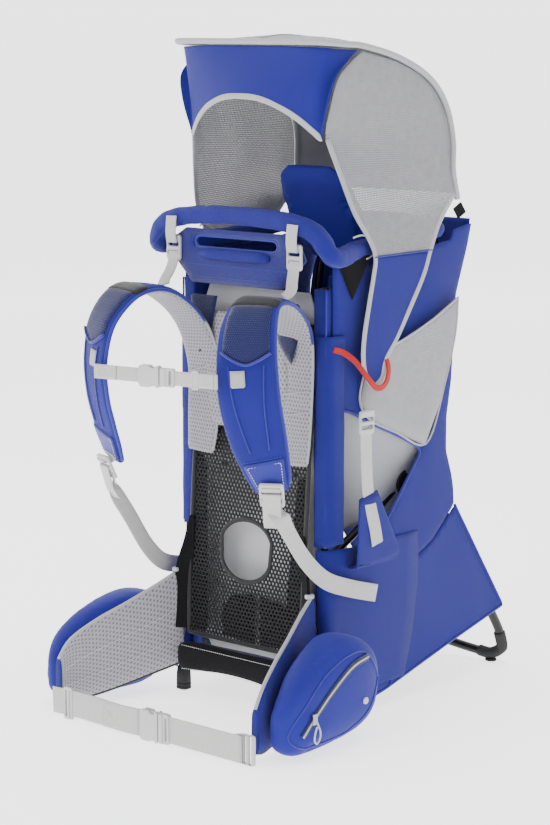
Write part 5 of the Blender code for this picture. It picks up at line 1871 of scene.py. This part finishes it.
def buckle_tongue(name, matrix, length, height, thickness, finish):
    """The male half's shoulder: a stepped block with a strap slot and grip ribs."""
    a = length / 2
    slot = [(u + a * 0.42, v) for u, v in rounded_box(length * 0.20, height * 0.74, 0.0014, 3)]
    pieces = [flat_plate("base", rounded_box(length, height, 0.0035), thickness * 0.62, finish,
                         matrix, [slot], 0.0012)]
    front = matrix @ Matrix.Translation((-a * 0.55, 0.0, 0.0))
    pieces.append(flat_plate("front", rounded_box(length * 0.42, height * 0.98, 0.003), thickness,
                             finish, front, (), 0.0016))
    guide = matrix @ Matrix.Translation((-a - 0.0075, 0.0, 0.0))
    pieces.append(flat_plate("guide", rounded_box(0.016, height * 0.34, 0.002), thickness * 0.38,
                             finish, guide, (), 0.0006))
    for step in (0.02, 0.20):
        rib = matrix @ Matrix.Translation((a * step, 0.0, -thickness * 0.34))
        pieces.append(flat_plate("rib", rounded_box(0.0014, height * 0.72, 0.0006), 0.0016, finish,
                                 rib, (), 0.0005))
    return join(name, pieces)


def tri_glide(name, matrix, strap, width, height, thickness, finish):
    """A slide adjuster: three bars in a rounded frame."""
    slots = [[(u + side * width * 0.22, v) for u, v in rounded_box(width * 0.20, strap, 0.0008, 2)]
             for side in (-1, 1)]
    return flat_plate(name, rounded_box(width, height, 0.0028), thickness, finish, matrix, slots,
                      0.0008)


def belt_matrix(x, out=0.0):
    return frame_matrix((x, BELT_Y - out, BELT_Z), X_AXIS, Z_AXIS)


def make_belt(m):
    """The hip belt's webbing, side-release buckle, slide and ladder lock."""
    left = [Vector((x, BELT_Y, BELT_Z + 0.0010 * math.sin(x * 40))) for x in
            np.linspace(-0.180, 0.006, 24)]
    pieces = [webbing("strap", left, BELT_WIDTH, m["webbing"], Z_AXIS),
              webbing("fold", [Vector((x, BELT_Y - 0.0018, BELT_Z + 0.0010 * math.sin(x * 40)))
                               for x in np.linspace(-0.150, -0.002, 16)], BELT_WIDTH,
                      m["webbing"], Z_AXIS),
              buckle_socket("socket", belt_matrix(0.017), 0.034, 0.044, 0.0130, m["plastic"]),
              tri_glide("slide", belt_matrix(-0.146, 0.0020), 0.038, 0.017, 0.0465, 0.0044,
                        m["plastic"])]
    attach(join("belt_socket_half", pieces), "hip_belt", "belt_socket_strap")
    box_stitch("hip_belt", lambda u, v: Vector((-0.062 + u, BELT_Y - 0.0030, BELT_Z + v)),
               0.030, 0.028)
    right = [Vector((x, BELT_Y, BELT_Z)) for x in np.linspace(0.044, 0.186, 20)]
    pieces = [webbing("strap", right, BELT_WIDTH, m["webbing"], Z_AXIS),
              buckle_tongue("tongue", belt_matrix(0.0437), 0.0175, 0.043, 0.0120, m["plastic"])]
    attach(join("belt_tongue_half", pieces), "hip_tongue", "belt_tongue_strap")
    for name, sign in (("upper", 1), ("lower", -1)):
        outline = [(-0.0100, -0.0028), (-0.0030, -0.0030), (0.0100, -0.0018), (0.0100, 0.0020),
                   (0.0040, 0.0034), (-0.0060, 0.0030), (-0.0100, 0.0012)]
        outline = [(u, sign * v) for u, v in outline]
        prong = flat_plate(f"prong_{name}_moulding", outline if sign > 0 else outline[::-1],
                           0.0058, m["plastic"],
                           frame_matrix((0.0243, BELT_Y, BELT_Z + sign * 0.0178), X_AXIS, Z_AXIS),
                           (), 0.0010)
        attach(prong, f"prong_{name}", f"buckle_prong_{name}")
    lock = ladder_lock("belt_lock", frame_matrix((0.192, BELT_Y + 0.0055, BELT_Z), Z_AXIS, -X_AXIS),
                       0.038, 0.042, 0.026, 0.0070, m["plastic"])
    attach(lock, "hip_belt", "belt_ladder_lock")


FIN = [(0.128, -0.004, 0.170, 0.030), (0.139, -0.040, 0.152, 0.022), (0.156, -0.085, 0.130, 0.010),
       (0.173, -0.130, 0.110, 0.000), (0.187, -0.170, 0.086, -0.004), (0.191, -0.190, 0.060, 0.000)]
POUCH = [(0.188, 0.224, 0.030, 0.090, 0.050), (0.168, 0.234, 0.016, 0.114, 0.016),
         (0.158, 0.240, -0.006, 0.131, 0.000), (0.153, 0.244, -0.040, 0.138, -0.009),
         (0.1655, 0.246, -0.085, 0.129, -0.012), (0.1825, 0.246, -0.130, 0.110, -0.012),
         (0.196, 0.243, -0.162, 0.085, -0.008), (0.204, 0.228, -0.182, 0.057, 0.004)]


def make_hips(m):
    for side, sign in SIDES.items():
        make_fin(m, side, sign)
        make_pouch(m, side, sign)


def make_fin(m, side, sign):
    """A padded fin: spacer mesh inside, packcloth outside, bound along its edges."""
    rows = smooth(FIN, 5)
    frames = [(Vector((sign * x, y, (top + low) / 2)), Z_AXIS, Vector((float(sign), 0.0, 0.0)))
              for x, y, top, low in rows]
    heights = [float(top - low) for _, _, top, low in rows]
    depths = [0.0140 - 0.0008 * abs(ripple((0.0, y, 0.0), 0.02)) for _, y, _, _ in rows]
    item = loft(f"fin_{side}", frames, heights, depths, PAD, m["gray_pad"])
    item.data.materials.append(m["blue"])
    for face in item.data.polygons:
        middle = sum(PAD[i % len(PAD)][1] for i in face.vertices) / len(face.vertices)
        if middle > 0.0:
            face.material_index = 1
    attach(item, "hip_belt", f"hip_fin_{side}")
    top = [Vector((sign * x, y, high - 0.0005)) for x, y, high, _ in rows]
    low = [Vector((sign * x, y, base + 0.0005)) for x, y, _, base in rows]
    pieces = [tube("a", top, 0.0028, m["gray_edge"]), tube("b", low, 0.0032, m["black_edge"])]
    attach(join(f"fin_binding_{side}", pieces), "hip_belt")
    for share in (0.30, 0.62):
        line = [Vector((sign * (x - 0.0072), y, base + (high - base) * share))
                for x, y, high, base in rows[2:-2]]
        stitch("hip_belt", line)
    knob = frame_matrix((sign * 0.129, -0.010, 0.1710), X_AXIS, Y_AXIS)
    attach(flat_plate(f"fin_knob_{side}", rounded_box(0.010, 0.014, 0.004), 0.006,
                      m["gray_plastic"], knob, (), 0.0015), "hip_belt")


def pouch_rings():
    out = []
    for inner, outer, y, top, low in smooth(POUCH, 3):
        out.append((Vector(((inner + outer) / 2, y, (top + low) / 2)), float(top - low),
                    float(outer - inner)))
    return out


def make_pouch(m, side, sign):
    """A zipped pocket on a fin: a filled body, a teardrop seam, the zip and its cord pull."""
    rings = pouch_rings()
    frames = [(Vector((sign * c.x, c.y, c.z)), Z_AXIS, Vector((float(sign), 0.0, 0.0)))
              for c, _, _ in rings]
    item = loft(f"pocket_body_{side}", frames, [h - 0.006 for _, h, _ in rings],
                [d - 0.007 for _, _, d in rings], section(28, 3.4), m["blue"])
    item = puff(item, 0.0045, voxel=0.006)
    attach(item, "hip_belt", f"hip_pocket_{side}")
    face = SkinFinder(item)
    seam = smooth([(0.018, 0.070), (-0.010, 0.108), (-0.050, 0.114), (-0.105, 0.096),
                   (-0.150, 0.060), (-0.172, 0.026), (-0.150, 0.006), (-0.100, 0.004),
                   (-0.050, 0.008), (-0.005, 0.030), (0.018, 0.070)], 7)
    line = [face.out_from(sign, y, z, 0.0004) for y, z in seam]
    attach(tube(f"pocket_panel_seam_{side}", spread_along(line, 0.004), 0.0011, m["blue_edge"]),
           "hip_belt")
    path = smooth([(-0.010, 0.104), (-0.050, 0.098), (-0.095, 0.074), (-0.130, 0.046),
                   (-0.152, 0.022)], 8)
    line = spread_along([face.out_from(sign, y, z, 0.0006) for y, z in path], 0.004)
    attach(webbing(f"zip_tape_{side}", line, 0.011, m["navy"], face.across(line, sign), 0.0012),
           "hip_belt")
    teeth = [p + Vector((sign * 0.0010, 0.0, 0.0)) for p in line]
    attach(tube(f"zip_teeth_{side}", teeth, 0.0013, m["gray_plastic"]), "hip_belt")
    make_zip_pull(m, side, sign)
    snap = face.out_from(sign, -0.020, 0.045, 0.0012)
    matrix = frame_matrix(snap, Y_AXIS, Z_AXIS)
    attach(flat_plate(f"pocket_snap_{side}", rounded_box(0.010, 0.010, 0.0048), 0.0030,
                      m["plastic"], matrix, (), 0.0010), "hip_belt")


class SkinFinder:
    """Finds places on a piece's outer skin by looking in along X."""

    def __init__(self, item):
        self.item = item

    def out_from(self, sign, y, z, lift):
        start = Vector((sign * 0.5, y, z)) + TO_OBJECT
        hit, place, normal, _ = self.item.ray_cast(start, Vector((-float(sign), 0.0, 0.0)))
        if not hit:
            hit, place, normal, _ = self.item.closest_point_on_mesh(start)
        return place + normal * lift - TO_OBJECT

    def across(self, line, sign):
        last = len(line) - 1
        out = []
        for i in range(len(line)):
            along = (line[min(i + 1, last)] - line[max(i - 1, 0)]).normalized()
            out.append(along.cross(Vector((float(sign), 0.0, 0.0))).normalized())
        return out


def make_zip_pull(m, side, sign):
    """The zip's slider with its knotted cord pull."""
    place = Vector((sign * 0.2490, -0.135, 0.045))
    matrix = frame_matrix(place, Y_AXIS, Z_AXIS)
    body = flat_plate("slider", [(-0.0040, -0.0070), (0.0040, -0.0070), (0.0030, 0.0020),
                                 (0.0040, 0.0070), (-0.0040, 0.0070), (-0.0030, 0.0020)], 0.0030,
                      m["gray_plastic"], matrix, (), 0.0006)
    bridge = flat_plate("bridge", rounded_box(0.0030, 0.0080, 0.0014), 0.0018, m["gray_plastic"],
                        frame_matrix(place + Vector((sign * 0.0022, 0.0, 0.0)), Y_AXIS, Z_AXIS),
                        (), 0.0005)
    attach(join(f"zip_body_{side}", [body, bridge]), f"zip_{side}", f"zip_slider_{side}")
    start = place + Vector((sign * 0.0035, 0.0, -0.003))
    route = [start, start + Vector((sign * 0.0020, 0.001, -0.006)),
             start + Vector((sign * 0.0022, 0.004, -0.014)),
             start + Vector((sign * 0.0020, 0.003, -0.023)),
             start + Vector((sign * 0.0020, -0.003, -0.0285)),
             start + Vector((sign * 0.0020, -0.0075, -0.023)),
             start + Vector((sign * 0.0018, -0.006, -0.014)),
             start + Vector((sign * 0.0012, -0.0015, -0.006))]
    add_cord(f"zip_cord_{side}", route, 4, 0.0024, m["webbing"], f"zip_{side}")


# ---------------------------------------------------------------- stirrups

def make_stirrups(m):
    """The child's foot stirrups: lock, webbing with box stitches and the padded flap."""
    for side, sign in SIDES.items():
        body = f"stirrup_{side}"
        matrix = frame_matrix((sign * 0.1706, 0.062, 0.413), Vector((0.0, float(sign), 0.0)), Z_AXIS)
        lock = ladder_lock(f"stirrup_buckle_{side}", matrix, 0.024, 0.030, 0.034, 0.0068,
                           m["plastic"])
        attach(lock, "pack", f"stirrup_lock_{side}")
        stations = [(0.1650, 0.073, 0.308, 0.040), (0.1660, 0.092, 0.222, 0.090),
                    (0.1630, 0.094, 0.209, 0.092), (0.1560, 0.094, 0.2045, 0.090),
                    (0.1470, 0.094, 0.204, 0.086)]
        rows = smooth(stations, 5)
        places = [Vector((sign * x, y, z)) for x, y, z, _ in rows]
        flap = loft(f"stirrup_pad_{side}", frames_along(places, Y_AXIS),
                    [float(row[3]) for row in rows], 0.0042, PAD, m["blue"])
        attach(flap, body, f"stirrup_flap_{side}")
        strap = vectors(smooth(flipped([(0.1680, 0.0640, 0.404), (0.1655, 0.0665, 0.392),
                                        (0.1650, 0.0690, 0.350), (0.1655, 0.0730, 0.308),
                                        (0.1690, 0.0830, 0.262), (0.1692, 0.0890, 0.236)], sign), 5))
        attach(webbing(f"stirrup_strap_{side}", strap, 0.0235, m["webbing"], Y_AXIS), body)
        box_stitch(body, lambda u, v: Vector((sign * 0.1704, 0.0865 + v - 0.25 * u, 0.246 + u)),
                   0.018, 0.015)


# ---------------------------------------------------------------- the whole


def make_pack():
    m = make_materials()
    make_camera()
    make_stage()
    make_frame(m)
    make_back(m)
    make_rim(m)
    make_yoke(m)
    make_sides(m)
    make_rear(m)
    make_cockpit(m)
    make_gussets(m)
    make_sunshade(m)
    make_harness(m)
    make_sternum(m)
    make_belt(m)
    make_hips(m)
    make_stirrups(m)
    make_stitches({"pale": m["pale_thread"], "blue": m["blue_thread"]})


make_pack()
